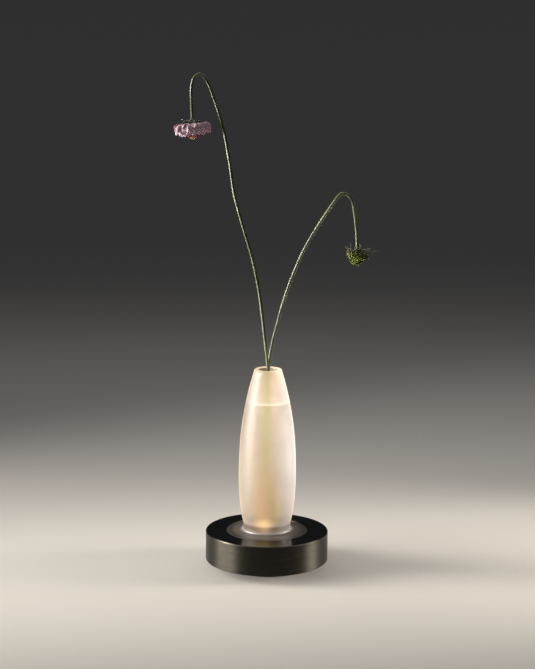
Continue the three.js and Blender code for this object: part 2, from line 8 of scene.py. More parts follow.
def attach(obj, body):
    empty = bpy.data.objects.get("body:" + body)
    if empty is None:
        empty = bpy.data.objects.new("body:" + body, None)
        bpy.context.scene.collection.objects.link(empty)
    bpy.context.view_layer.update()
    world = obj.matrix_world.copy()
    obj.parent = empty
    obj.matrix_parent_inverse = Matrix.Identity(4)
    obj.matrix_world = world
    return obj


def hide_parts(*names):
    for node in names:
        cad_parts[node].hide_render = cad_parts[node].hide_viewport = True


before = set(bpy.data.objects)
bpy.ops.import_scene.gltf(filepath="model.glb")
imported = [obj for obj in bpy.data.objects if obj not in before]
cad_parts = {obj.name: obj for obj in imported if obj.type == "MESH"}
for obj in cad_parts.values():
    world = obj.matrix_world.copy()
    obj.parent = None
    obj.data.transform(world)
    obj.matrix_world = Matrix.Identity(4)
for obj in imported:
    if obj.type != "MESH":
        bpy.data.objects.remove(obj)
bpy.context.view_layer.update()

# ==== Foot pad ====
# A disc of black moulded rubber under the foot, glued on, which keeps the drum from sliding. Its edge is
# rounded by the mould, and a shallow tread of rings shows on its underside.

MM = 0.001
WELD = 0.001 * MM


def select(piece=None):
    """Selects one piece alone, or nothing."""
    bpy.ops.object.select_all(action="DESELECT")
    if piece:
        piece.select_set(True)
        bpy.context.view_layer.objects.active = piece


def cleaned(piece):
    """Welds a piece's doubled points and turns its faces outward."""
    select(piece)
    bpy.ops.object.mode_set(mode="EDIT")
    bpy.ops.mesh.select_all(action="SELECT")
    bpy.ops.mesh.remove_doubles(threshold=WELD)
    bpy.ops.mesh.normals_make_consistent(inside=False)
    bpy.ops.object.mode_set(mode="OBJECT")
    return piece


def turned(name, profile, segments, closed=False):
    """A turned piece: a circle at the profile's first (radius, height) in mm, extruded to each next one.

    An open profile keeps a flat cap at each end. A closed one comes back to where it started."""
    select()
    radius, height = profile[0]
    fill = "NOTHING" if closed else "NGON"
    bpy.ops.mesh.primitive_circle_add(vertices=segments, radius=radius * MM, fill_type=fill)
    piece = bpy.context.object
    piece.name = piece.data.name = name
    bpy.ops.object.mode_set(mode="EDIT")
    bpy.ops.mesh.select_all(action="SELECT")
    bpy.ops.transform.translate(value=(0, 0, height * MM))
    stations = profile[1:] + profile[:1] if closed else profile[1:]
    for next_radius, next_height in stations:
        rise = (0, 0, (next_height - height) * MM)
        bpy.ops.mesh.extrude_region_move(TRANSFORM_OT_translate={"value": rise})
        ratio = next_radius / radius
        bpy.ops.transform.resize(value=(ratio, ratio, 1), center_override=(0, 0, 0))
        radius, height = next_radius, next_height
    bpy.ops.object.mode_set(mode="OBJECT")
    return cleaned(piece)


def linear(hex_colour):
    """An sRGB hex colour as the linear RGBA that a shader's sockets take."""
    shares = [int(hex_colour[i : i + 2], 16) / 255 for i in (1, 3, 5)]
    return [s / 12.92 if s <= 0.04045 else ((s + 0.055) / 1.055) ** 2.4 for s in shares] + [1.0]


def feed(node, links):
    """Sets a node's inputs: a tuple gives them by number, a dict by name or by number.

    Each gets a value, a hex colour, or what feeds it: an output, or a node for its first enabled output."""
    for socket, value in links.items() if isinstance(links, dict) else enumerate(links):
        if isinstance(value, bpy.types.Node):
            value = next(output for output in value.outputs if output.enabled)
        if isinstance(value, bpy.types.NodeSocket):
            node.id_data.links.new(value, node.inputs[socket])
        else:
            node.inputs[socket].default_value = linear(value) if isinstance(value, str) else value


def add(tree, kind, links=(), stops=(), **settings):
    """Adds a node with its settings, what feeds its inputs, and a ramp's stops of place and hex colour.

    A Map Range's first five inputs are its value, the range it comes from and the range it goes to."""
    made = tree.nodes.new("ShaderNode" + kind)
    for key, value in settings.items():
        setattr(made, key, value)
    feed(made, links)
    if stops:
        elements = made.color_ramp.elements
        while len(elements) < len(stops):
            elements.new(0.5)
        for element, (position, colour) in zip(elements, stops):
            element.position = position
            element.color = linear(colour)
    return made


def new_finish(name, **values):
    """A material with its Principled shader's own sockets set. Returns it, its node tree and the shader."""
    finish = bpy.data.materials.new(name)
    finish.use_nodes = True
    shader = finish.node_tree.nodes["Principled BSDF"]
    for key, value in values.items():
        feed(shader, {key.replace("_", " ").title().replace("Ior", "IOR"): value})
    return finish, finish.node_tree, shader


def grain(*sizes_mm):
    """The Mapping scale that makes a texture's unit so many mm along X, Y and Z."""
    return tuple(1 / (size * MM) for size in sizes_mm)


def mottled(name, size_mm, detail, stops, relief=None, **values):
    """A finish whose tone drifts through some stops, in spots of a size in mm.

    relief is the strength and the height in mm of a bump that follows the spots. Returns what new_finish
    does, and the nodes of the spots and of the tone."""
    finish, tree, shader = new_finish(name, **values)
    place = add(tree, "TexCoord").outputs["Object"]
    spots = add(tree, "Mapping", {"Vector": place, "Scale": grain(size_mm, size_mm, size_mm)})
    spot = add(tree, "TexNoise", {"Vector": spots, "Scale": 1, "Detail": detail})
    tone = add(tree, "ValToRGB", {"Fac": spot}, stops)
    feed(shader, {"Base Color": tone})
    if relief:
        strength, depth = relief
        bump = add(tree, "Bump", {"Height": spot, "Strength": strength, "Distance": depth * MM})
        feed(shader, {"Normal": bump})
    return finish, tree, shader, spot, tone


def coat(piece, finish):
    """Gives a piece one finish."""
    piece.data.materials.clear()
    piece.data.materials.append(finish)


def dress(piece, finish, slot, *nodes, smooth_degrees=35):
    """Gives a finished piece its material, its shading and its place in the frame."""
    coat(piece, finish)
    select(piece)
    bpy.ops.object.shade_smooth_by_angle(angle=math.radians(smooth_degrees))
    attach(piece, "root")
    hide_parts(*nodes)


PAD_RADIUS = 39
PAD_HEIGHT = 1.5
PAD_ROUND = 0.35
TREAD_RINGS = 6
TREAD_PITCH = 5
TREAD_DEPTH = 0.3

pad_profile = [(PAD_RADIUS - PAD_ROUND, 0)]
for ring in range(TREAD_RINGS):
    edge = PAD_RADIUS - 4 - TREAD_PITCH * ring
    pad_profile[:0] = [(edge - 2.4, 0), (edge - 2, TREAD_DEPTH), (edge - 0.6, TREAD_DEPTH), (edge - 0.2, 0)]
pad_profile += [
    (PAD_RADIUS - 0.1, 0.1), (PAD_RADIUS, PAD_ROUND), (PAD_RADIUS, PAD_HEIGHT - PAD_ROUND),
    (PAD_RADIUS - 0.1, PAD_HEIGHT - 0.1), (PAD_RADIUS - PAD_ROUND, PAD_HEIGHT),
]
foot_pad = turned("foot_pad", pad_profile, 128)

# Moulded rubber: matt, charcoal rather than black, with a mould's fine pebble, drawn at 0.8 mm.
rubber_tones = [(0.3, "#131313"), (0.75, "#222120")]
moulded_rubber, *_ = mottled("moulded_black_rubber", 0.8, 3, rubber_tones, (0.5, 0.2), roughness=0.82)
dress(foot_pad, moulded_rubber, "foot_rubber", "rubber_foot_pad")

# ==== Base plate and its screws ====
# The drum's bottom is a turned steel plate with the recessed foot in one piece, powder coated dark. Three
# blackened screws in sunk holes hold it to bosses in the drum.

FOOT_RADIUS = 40
PLATE_RADIUS = 62.9
PLATE_BOTTOM = 9.5
PLATE_TOP = 12.5
SCREW_CIRCLE = 55
SCREW_HOLE = 3.1
SCREW_SINK = 1.6
SCREW_TURNS = (30, 150, 270)


def finish_with(piece, kind, **settings):
    """Adds a modifier to a piece and applies it."""
    select(piece)
    made = piece.modifiers.new(kind.title(), kind)
    for key, value in settings.items():
        setattr(made, key, value)
    bpy.ops.object.modifier_apply(modifier=made.name)


def cut(piece, cutter):
    """Takes a cutter's form out of a piece, and removes the cutter."""
    finish_with(piece, "BOOLEAN", operation="DIFFERENCE", object=cutter, solver="EXACT")
    bpy.data.objects.remove(cutter)


plate_profile = [
    (FOOT_RADIUS - 0.7, PAD_HEIGHT), (FOOT_RADIUS, PAD_HEIGHT + 0.7), (FOOT_RADIUS, PLATE_BOTTOM - 0.5),
    (FOOT_RADIUS + 0.5, PLATE_BOTTOM), (PLATE_RADIUS - 0.3, PLATE_BOTTOM),
    (PLATE_RADIUS, PLATE_BOTTOM + 0.3), (PLATE_RADIUS, PLATE_TOP),
]
plate = turned("base_plate_piece", plate_profile, 192)
for turn in SCREW_TURNS:
    select()
    angle = math.radians(turn)
    hole = Vector((SCREW_CIRCLE * math.cos(angle), SCREW_CIRCLE * math.sin(angle), PLATE_BOTTOM)) * MM
    bpy.ops.mesh.primitive_cylinder_add(
        vertices=32, radius=SCREW_HOLE * MM, depth=2 * SCREW_SINK * MM, location=hole
    )
    cut(plate, bpy.context.object)

# Powder coat: a fine orange peel that breaks up the gloss, drawn at 1.2 mm.
coat_tones = [(0.25, "#1b1917"), (0.8, "#28251f")]
powder_coat, tree, shader, peel, _ = mottled("dark_powder_coat", 1.2, 2, coat_tones, (0.35, 0.15))
feed(shader, {"Roughness": add(tree, "MapRange", (peel, 0, 1, 0.34, 0.52))})
dress(plate, powder_coat, "base_plate_steel", "base_plate")

# Blackened steel: an oiled oxide, brownish where it wears.
oxide_tones = [(0.35, "#26262a"), (0.7, "#4a4541")]
blackened_steel, *_ = mottled("blackened_steel", 1.5, 4, oxide_tones, metallic=1.0, roughness=0.4)
for number in (1, 2, 3):
    coat(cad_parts[f"base_screw_{number}"], blackened_steel)

# ==== Drum ====
# Turned from aluminium and anodised a dark bronze grey: a side brushed round, small chamfers painted paler
# as a painted highlight, a top turned smooth, and a rebate for the disc. A slot in its back lets a charging
# plug in to the inlet.

DRUM_RADIUS = 65
DRUM_INSIDE = 62
DRUM_BOTTOM = 9
DRUM_TOP = 40
DRUM_CHAMFER = 0.7
DECK_BOTTOM = 33.5
DISC_RADIUS = 42.8
DISC_BOTTOM = 36
LIGHT_OPENING = 37.5
GAP = 0.3
SLOT_WIDTH = 13
SLOT_HEIGHT = 7
SLOT_LEVEL = 19.2
SLOT_FLARE = 0.5
CUTTER_LENGTH = 6
CUTTER_MIDDLE = DRUM_RADIUS - 3.6
FLARE_LENGTH = 2

drum_profile = [
    (PLATE_RADIUS + GAP, DRUM_BOTTOM), (DRUM_RADIUS - DRUM_CHAMFER, DRUM_BOTTOM),
    (DRUM_RADIUS, DRUM_BOTTOM + DRUM_CHAMFER), (DRUM_RADIUS, DRUM_TOP - DRUM_CHAMFER),
    (DRUM_RADIUS - DRUM_CHAMFER, DRUM_TOP), (DISC_RADIUS + GAP + 0.3, DRUM_TOP),
    (DISC_RADIUS + GAP, DRUM_TOP - 0.3), (DISC_RADIUS + GAP, DISC_BOTTOM), (LIGHT_OPENING, DISC_BOTTOM),
    (LIGHT_OPENING, DECK_BOTTOM), (DRUM_INSIDE, DECK_BOTTOM), (DRUM_INSIDE, PLATE_TOP),
    (PLATE_RADIUS + GAP, PLATE_TOP),
]
drum = turned("base_drum_piece", drum_profile, 256, closed=True)

# The cutter is a cylinder that is pulled out into a slot, with its outer end flared for a lead-in.
select()
bpy.ops.mesh.primitive_cylinder_add(
    vertices=48, radius=SLOT_HEIGHT / 2 * MM, depth=CUTTER_LENGTH * MM,
    location=(0, CUTTER_MIDDLE * MM, SLOT_LEVEL * MM), rotation=(math.radians(90), 0, 0),
)
cutter = bpy.context.object
bpy.ops.object.transform_apply(location=True, rotation=True, scale=True)
for vertex in cutter.data.vertices:
    if abs(vertex.co.x) > 0.1 * MM:
        vertex.co.x += math.copysign((SLOT_WIDTH - SLOT_HEIGHT) / 2 * MM, vertex.co.x)
bpy.ops.object.mode_set(mode="EDIT")
bpy.ops.mesh.select_all(action="DESELECT")
bpy.ops.object.mode_set(mode="OBJECT")
for face in cutter.data.polygons:
    face.select = face.normal.y > 0.9
bpy.ops.object.mode_set(mode="EDIT")
bpy.ops.mesh.extrude_region_move(TRANSFORM_OT_translate={"value": (0, FLARE_LENGTH * MM, 0)})
flare = (1 + 4 * SLOT_FLARE / SLOT_WIDTH, 1, 1 + 4 * SLOT_FLARE / SLOT_HEIGHT)
bpy.ops.transform.resize(value=flare, center_override=(0, 0, SLOT_LEVEL * MM))
bpy.ops.object.mode_set(mode="OBJECT")
cut(drum, cutter)

# A Mix node's inputs A and B, by number: those for plain values, and those for colours.
VALUE_A, VALUE_B, COLOUR_A, COLOUR_B = 2, 3, 6, 7

# Brushed round, then anodised: near black, warm, with each light drawn out tall across the brush lines. The
# real lines are some 0.1 mm apart, drawn here at 0.3 mm so that they show, long round the drum.
anodised, tree, shader = new_finish(
    "brushed_dark_anodised_aluminium", metallic=1.0, anisotropic=0.78, anisotropic_rotation=0.25
)
place = add(tree, "TexCoord").outputs["Object"]
lines = add(tree, "Mapping", {"Vector": place, "Scale": grain(22, 22, 0.3)})
brush = add(tree, "TexNoise", {"Vector": lines, "Scale": 1, "Detail": 5, "Roughness": 0.7})
cloud = add(tree, "Mapping", {"Vector": place, "Scale": grain(9, 9, 4)})
drift = add(tree, "TexNoise", {"Vector": cloud, "Scale": 1, "Detail": 3})
mixed = add(tree, "Mix", {"Factor": 0.25, VALUE_A: brush, VALUE_B: drift}, data_type="FLOAT")
tone = add(tree, "ValToRGB", {"Fac": mixed}, [(0.36, "#272622"), (0.5, "#302f2a"), (0.64, "#3c3a33")])
# The top and the chamfers are turned smooth: they face up or stand at an angle, the side doesn't.
facing = add(tree, "NewGeometry").outputs["Normal"]
upward = add(tree, "SeparateXYZ", {"Vector": facing}).outputs["Z"]
side = add(tree, "MapRange", (upward, 0.3, 0.85, 1, 0))
rough = add(tree, "MapRange", (mixed, 0.3, 0.7, 0.4, 0.5))
gloss = add(tree, "Mix", {"Factor": side, VALUE_A: 0.2, VALUE_B: rough}, data_type="FLOAT")
relief = add(tree, "Math", (side, 0.2), operation="MULTIPLY")
bump = add(tree, "Bump", {"Height": brush, "Strength": relief, "Distance": 0.1 * MM})
around = add(tree, "Tangent", direction_type="RADIAL", axis="Z")
# Each chamfer's metal is painted paler by the way it faces: a painted highlight along each edge.
chamfer_highlight_tones = [(0.55, "#000000"), (0.66, "#ffffff"), (0.76, "#ffffff"), (0.87, "#000000")]
edge = add(tree, "ValToRGB", {"Fac": upward}, chamfer_highlight_tones)
chamfer_lit_tone = add(tree, "Mix", {"Factor": edge, COLOUR_A: tone, COLOUR_B: "#8d897c"}, data_type="RGBA")
feed(shader, {"Base Color": chamfer_lit_tone, "Roughness": gloss, "Normal": bump, "Tangent": around})
dress(drum, anodised, "drum_metal", "base_drum")

# ==== Light, battery and charging inlet ====
# Sealed in the drum: an aluminium carrier with the light board on it, a flat battery in shrink wrap, and
# the charging board with its stamped steel inlet behind the slot. They keep their own shapes.

# Plain made surfaces: milled and stamped metal, shrink wrap and solder mask, each faintly mottled.
INNER_FINISHES = [
    # node, material, dark and light tone, size of its spots in mm, roughness, metallic
    ("led_carrier", "milled_aluminium", "#a9abae", "#c6c8ca", 2.5, 0.4, 1.0),
    ("battery_pack", "battery_shrink_wrap", "#4c5055", "#646a70", 6, 0.35, 0.0),
    ("charge_board", "green_solder_mask", "#1a4632", "#245a42", 3, 0.3, 0.0),
    ("charge_socket", "stamped_steel", "#a8abaf", "#cfd2d5", 1.2, 0.28, 1.0),
    ("led_board", "white_solder_mask", "#e6e3da", "#f6f3ea", 3, 0.45, 0.0),
]
for node, name, dark, light, size_mm, roughness, metallic in INNER_FINISHES:
    tones = [(0.3, dark), (0.7, light)]
    finish, tree, shader, *_ = mottled(
        name, size_mm, 3, tones, (0.2, 0.1), roughness=roughness, metallic=metallic
    )
    coat(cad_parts[node], finish)
    if node == "led_board":
        feed(shader, {"Emission Color": "#ffdca8", "Emission Strength": 1.5})

# ==== Frosted disc ====
# Cast acrylic, turned and satin finished, let in flush with the drum's top. Its low collar holds the vase.
# The light coming up through it is painted on: a painted glow and a paler tone at the collar, and a painted
# shade on the outer band, which lies on the metal rebate.

SEAT_RADIUS = 25.2
COLLAR_RADIUS = SEAT_RADIUS + 1.2
COLLAR_TOP = DRUM_TOP + 2.6
COLLAR_FLARE = 3.8
FLARE_STEPS = 10
TONES_START = 24
TONES_END = 44
EDGE_ROUND = 0.3

disc_profile = [
    (DISC_RADIUS, DISC_BOTTOM), (DISC_RADIUS, DRUM_TOP - GAP), (DISC_RADIUS - GAP, DRUM_TOP),
    (LIGHT_OPENING + 0.1, DRUM_TOP),
]
for step in range(FLARE_STEPS + 1):
    angle = math.pi / 2 * step / FLARE_STEPS
    reach = COLLAR_RADIUS + COLLAR_FLARE * (1 - math.sin(angle))
    disc_profile.append((reach, DRUM_TOP + (COLLAR_TOP - DRUM_TOP - EDGE_ROUND) * (1 - math.cos(angle))))
disc_profile += [
    (COLLAR_RADIUS - 0.1, COLLAR_TOP - 0.1), (COLLAR_RADIUS - 0.35, COLLAR_TOP),
    (SEAT_RADIUS + EDGE_ROUND, COLLAR_TOP), (SEAT_RADIUS, COLLAR_TOP - EDGE_ROUND), (SEAT_RADIUS, DRUM_TOP),
]
disc = turned("light_disc_piece", disc_profile, 192)

# Satin acrylic: milky, with faint turning marks, drawn 1.1 mm apart. Its glow is painted: an emission
# strongest at the collar, and a tone painted paler there and darker towards the rim, as painted shade.
MARK_PITCH = 1.1 * MM
disc_tones_and_painted_light = [
    (0.0, "#8d8680"), (0.14, "#554e49"), (0.34, "#5a544f"), (0.64, "#57514d"),
    (0.665, "#2a2724"), (0.69, "#3f3b37"), (1.0, "#36322f"),
]
painted_disc_glow = [(0.0, "#d8cbc4"), (0.1, "#b4a8a2"), (0.15, "#2f2a28"), (0.4, "#322d2a"), (0.66, "#1a1715")]
satin_acrylic, tree, shader = new_finish(
    "satin_cast_acrylic", roughness=0.38, ior=1.49, emission_strength=0.6
)
place = add(tree, "TexCoord").outputs["Object"]
flat = add(tree, "VectorMath", (place, (1, 1, 0)), operation="MULTIPLY")
radius = add(tree, "VectorMath", (flat,), operation="LENGTH")
band = add(tree, "MapRange", (radius, TONES_START * MM, TONES_END * MM))
turns = add(tree, "Math", (radius, 2 * math.pi / MARK_PITCH), operation="MULTIPLY")
marks = add(tree, "Math", (turns,), operation="SINE")
mottle = add(tree, "TexNoise", {"Vector": place, "Scale": 1 / (1.5 * MM), "Detail": 3})
height = add(tree, "Math", (marks, 0.12, mottle), operation="MULTIPLY_ADD")
bump = add(tree, "Bump", {"Height": height, "Strength": 0.25, "Distance": 0.08 * MM})
tone, glow = [add(tree, "ValToRGB", {"Fac": band}, stops) for stops in (disc_tones_and_painted_light, painted_disc_glow)]
feed(shader, {"Base Color": tone, "Emission Color": glow, "Normal": bump})
dress(disc, satin_acrylic, "frosted_disc", "light_disc")

# ==== Vase ====
# Blown glass with a thick wall and a thicker bottom, ground to a small flat, and etched with acid to a satin
# outside. It closes in to a drawn, fire polished lip. The light comes up through the bottom.

VASE_SEGMENTS = 160
VASE_FOOT = 23.7
VASE_TOP = 213.4
LIP_RADIUS = 12
GLASS_FLOOR = 48.8
VASE_OUTSIDE = [
    (24.7, 41), (24.9, 46.5), (27.6, 60), (29.6, 79), (30.3, 102),
    (29.7, 126), (27.8, 150), (24.2, 173), (19.6, 194), (14.6, 211.8),
]
VASE_INSIDE = [
    (9.5, 211.6), (9.7, 209), (15.4, 192), (19.9, 172), (23.5, 149), (25.5, 126),
    (26.1, 102), (25.4, 80), (23.4, 63), (19.6, 52.5), (13, GLASS_FLOOR),
]


def smooth_line(points, steps):
    """A centripetal Catmull-Rom line through some points, with so many steps from one to the next."""
    knots = [Vector(p) for p in points]
    knots = [2 * knots[0] - knots[1], *knots, 2 * knots[-1] - knots[-2]]
    line = []
    for before, start, end, after in zip(knots, knots[1:], knots[2:], knots[3:]):
        first, middle, last = (
            math.sqrt((b - a).length) for a, b in ((before, start), (start, end), (end, after))
        )
        slope_out = (start - before) / first - (end - before) / (first + middle) + (end - start) / middle
        slope_in = (end - start) / middle - (after - start) / (middle + last) + (after - end) / last
        for step in range(steps):
            t = step / steps
            line.append(
                start * (2 * t**3 - 3 * t**2 + 1)
                + slope_out * middle * (t**3 - 2 * t**2 + t)
                + end * (3 * t**2 - 2 * t**3)
                + slope_in * middle * (t**3 - t**2)
            )
    return [*line, knots[-2]]


outside_line = [tuple(p) for p in smooth_line(VASE_OUTSIDE, 6)]
inside_line = [tuple(p) for p in smooth_line(VASE_INSIDE, 5)]
lip_round = [
    (14.3, 212.6), (13.7, VASE_TOP - 0.3), (LIP_RADIUS + 0.9, VASE_TOP - 0.06), (LIP_RADIUS, VASE_TOP),
    (LIP_RADIUS - 0.9, VASE_TOP - 0.1), (LIP_RADIUS - 1.7, VASE_TOP - 0.5),
    (LIP_RADIUS - 2.3, VASE_TOP - 1.1),
]
vase_profile = [
    (VASE_FOOT - 0.6, DRUM_TOP), (VASE_FOOT + 0.4, DRUM_TOP + 0.2), *outside_line, *lip_round, *inside_line,
    (8, GLASS_FLOOR - 0.2),
]
vase = turned("vase_piece", vase_profile, VASE_SEGMENTS)
# The lip was finished by hand and isn't quite level: it dips a little at the front.
LIP_DIP = 0.045
DIP_START = 200
for vertex in vase.data.vertices:
    near_lip = min(max(vertex.co.z / MM - DIP_START, 0) / (VASE_TOP - DIP_START), 1)
    vertex.co.z += LIP_DIP * near_lip * vertex.co.y

# Etched glass, lit from below. The light that the etch scatters at the surface is painted on as a glow,
# an emission. The polished inside gets none, so each point notes whether it lies on the outer face.
outer_face = vase.data.attributes.new("outer_face", "FLOAT", "POINT")
for vertex, share in zip(vase.data.vertices, outer_face.data):
    height = vertex.co.z / MM
    wall = min(inside_line, key=lambda p: abs(p[1] - height))[0]
    polished = height > GLASS_FLOOR - 0.5 and vertex.co.xy.length / MM < wall + 0.6
    share.value = 0.0 if polished else 1.0

etched_glass, tree, shader = new_finish(
    "acid_etched_glass", ior=1.5, transmission_weight=0.8, specular_ior_level=0.1
)
place = add(tree, "TexCoord").outputs["Object"]
across, _, level = add(tree, "SeparateXYZ", {"Vector": place}).outputs
rise = add(tree, "MapRange", (level, DRUM_TOP * MM, VASE_TOP * MM))
outer = add(tree, "Attribute", attribute_name="outer_face").outputs["Fac"]
inner = add(tree, "Math", (1.0, outer), operation="SUBTRACT")

# The painted glow's tone up the glass, as it shows in the middle and at the sides. From the middle to the
# sides the eye looks along more and more of the etched wall.
painted_glow_middle_tones = [
    (0.0, "#101010"), (0.03, "#a8a4bc"), (0.046, "#665a74"), (0.07, "#fcfcfc"),
    (0.2, "#f6f0ea"), (0.5, "#f4f8fa"), (0.88, "#fffff0"), (1.0, "#e2dcd2"),
]
painted_glow_side_tones = [(0.0, "#6c7278"), (0.14, "#d2d0d8"), (0.45, "#ecf0f6"), (0.8, "#dadcd8"), (1.0, "#e2e2d6")]
middle, sides = [add(tree, "ValToRGB", {"Fac": rise}, stops) for stops in (painted_glow_middle_tones, painted_glow_side_tones)]
lean = add(tree, "LayerWeight", {"Blend": 0.5}).outputs["Facing"]
wall_share = add(tree, "MapRange", (lean, 0.02, 0.3), interpolation_type="SMOOTHSTEP")
glow = add(tree, "Mix", {"Factor": wall_share, COLOUR_A: middle, COLOUR_B: sides}, data_type="RGBA")

# The painted glow turns from cream on the left to a faint pink on the right, a painted cast of the lights
# on either side, and deeper and warmer below, over the light.
low_painted_cast_tones = [(0.0, "#b2a070"), (0.35, "#be9866"), (0.65, "#b09872"), (1.0, "#cec2ae")]
high_painted_cast_tones = [(0.0, "#90785c"), (0.35, "#c6b494"), (0.65, "#e2cab4"), (1.0, "#ffede4")]
left_right = add(tree, "MapRange", (across, -24 * MM, 24 * MM))
low, high = [add(tree, "ValToRGB", {"Fac": left_right}, stops) for stops in (low_painted_cast_tones, high_painted_cast_tones)]
upward = add(tree, "MapRange", (rise, 0.15, 0.8))
cast = add(tree, "Mix", {"Factor": upward, COLOUR_A: low, COLOUR_B: high}, data_type="RGBA")

# The stems behind the etch are painted on as a painted shade: the glow is tinted a soft yellow-green
# along a line, which slants off to the right below: its lower and upper height, and how far it lies to
# the right at each.
STEM_LINE = (56 * MM, 104 * MM, 9.7 * MM, -0.4 * MM)
stem_path = add(tree, "MapRange", (level, *STEM_LINE))
off_stem = add(tree, "Math", (across, stem_path), operation="SUBTRACT")
off_stem = add(tree, "Math", (off_stem,), operation="ABSOLUTE")
stem_shadow_share = add(tree, "MapRange", (off_stem, 0.5 * MM, 4.5 * MM, 1, 0), interpolation_type="SMOOTHSTEP")
layers = [(1.0, cast, "MULTIPLY"), (stem_shadow_share, "#f6ffdc", "MULTIPLY")]

# The light stands under the middle of the thick bottom. Its image through the bottom is painted into the
# glow as a broad warm spot, and once more below, faint, as a painted reflection where the bottom mirrors it.
PAINTED_LIGHT_SPOTS = [
    # place across and up, how much flatter than round, radius in mm, colour
    (-3.6, 52.3, 1.7, 15.6, "#ac9361"),
    (-2.2, 46.2, 1.0, 9.0, "#6f5c40"),
]
for spot_x, spot_z, flatten, reach, colour in PAINTED_LIGHT_SPOTS:
    middle_at = (-spot_x * MM, 0, -flatten * spot_z * MM)
    beside = add(tree, "Mapping", {"Vector": place, "Location": middle_at, "Scale": (1, 0, flatten)})
    away = add(tree, "VectorMath", (beside,), operation="LENGTH")
    spot = add(tree, "MapRange", (away, 0, reach * MM, 1, 0), interpolation_type="SMOOTHSTEP")
    layers.append((spot, colour, "ADD"))
for share, colour, blend in layers:
    layer = {"Factor": share, COLOUR_A: glow, COLOUR_B: colour}
    glow = add(tree, "Mix", layer, data_type="RGBA", blend_type=blend)

# The etch is uneven: a fine speck drawn at 0.9 mm, and a mist at 13 mm. At the brim, where the wall is
# seen edge on, the painted glow is made up to half again as strong.
etch = add(tree, "TexNoise", {"Vector": place, "Scale": 1 / (0.9 * MM), "Detail": 4, "Roughness": 0.6})
mist = add(tree, "TexNoise", {"Vector": place, "Scale": 1 / (13 * MM), "Detail": 2})
strength = add(tree, "MapRange", (mist, 0.3, 0.7, 0.93, 1.07))
speck = add(tree, "MapRange", (etch, 0.3, 0.7, 0.95, 1.05))
painted_brim_glow = add(tree, "MapRange", (lean, 0.62, 0.92, 1.0, 1.5))
for share in (speck, painted_brim_glow, outer):
    strength = add(tree, "Math", (strength, share), operation="MULTIPLY")
bump = add(tree, "Bump", {"Height": etch, "Strength": 0.3, "Distance": 0.05 * MM})
satin = add(tree, "MapRange", (outer, 0, 1, 0.06, 0.5))

# Inside the neck, where the wall is seen through its own thickness, the base colour is painted darker,
# a painted shade. The far wall of the neck gets a painted glow on its right. The base colour is darker,
# and greyer, in a band round the thick bottom.
NECK_START = 188
NECK_END = 210
throat = add(tree, "MapRange", (level, NECK_START * MM, NECK_END * MM))
throat = add(tree, "Math", (throat, inner), operation="MULTIPLY")
painted_neck_glow_side = add(tree, "MapRange", (across, -3 * MM, 5 * MM, 0.12, 0.75))
strength = add(tree, "Math", (throat, painted_neck_glow_side, strength), operation="MULTIPLY_ADD")
foot_tones = [(0.012, "#7d7673"), (0.026, "#3a3335"), (0.046, "#3a3335"), (0.062, "#a1989c")]
foot = add(tree, "ValToRGB", {"Fac": rise}, foot_tones)
body = add(tree, "Mix", {"Factor": throat, COLOUR_A: foot, COLOUR_B: "#3c352c"}, data_type="RGBA")
feed(shader, {"Base Color": body, "Roughness": satin, "Normal": bump})
feed(shader, {"Emission Color": glow, "Emission Strength": strength})
dress(vase, etched_glass, "frosted_glass", "vase")

# ==== Water ====
# Clear water, which fills the glass up to the start of the neck and climbs the wall a little. It wets the
# glass, so its skin lies just inside the wall's, with no film of air between them to mirror the light.

WATER_LEVEL = 179
LINE_START = 177.2
LINE_END = 178.4
MENISCUS = 1.1
WATER_LAP = 0.3
SURFACE_RADIUS = 18.35 + WATER_LAP

water_wall = [(r + WATER_LAP, z - WATER_LAP) for r, z in inside_line if z < WATER_LEVEL - 4][::-1]
water_profile = [
    (8, GLASS_FLOOR - WATER_LAP), *water_wall[1:], (SURFACE_RADIUS, WATER_LEVEL),
    (SURFACE_RADIUS - 0.5, WATER_LEVEL - 0.1), (SURFACE_RADIUS - 1.4, WATER_LEVEL - 0.7),
    (SURFACE_RADIUS - 2.8, WATER_LEVEL - MENISCUS), (4, WATER_LEVEL - MENISCUS),
]
water = turned("water_piece", water_profile, VASE_SEGMENTS)

# Still water: clear and mirror smooth. Its edge has a painted glow: a bright line for the base's light.
clear_water, tree, shader = new_finish(
    "still_water", base_color="#f4f3e6", roughness=0.03, ior=1.33, transmission_weight=1.0
)
place = add(tree, "TexCoord").outputs["Object"]
level = add(tree, "SeparateXYZ", {"Vector": place}).outputs["Z"]
edge = add(tree, "MapRange", (level, LINE_START * MM, LINE_END * MM, 0, 0.9))
feed(shader, {"Emission Color": "#fff8ea", "Emission Strength": edge})
dress(water, clear_water, "vase_water", "water")

# ==== Stems ====
# Two fresh cut scabious stems, each grown in one piece with its flower's green back and the bracts round it.
# They stand on the glass floor, cross in the mouth and arch over. Fine ribs and short hairs run along them.

STEM_STEPS = 8
STEM_RIBS = 9
RIB_DEPTH = 0.05
HAIRS = 130
FIRST_HAIR = 40
HAIR_LENGTH = 0.4
HAIR_WIDTH = 0.035
YOUNG_BLEND = 12
LIT_START = 60
BRACT_FOLD = 0.35
BRACT_THICKNESS = 0.3


def placed(name, data):
    """A new object of the scene that shows some data."""
    piece = bpy.data.objects.new(name, data)
    bpy.context.scene.collection.objects.link(piece)
    return piece


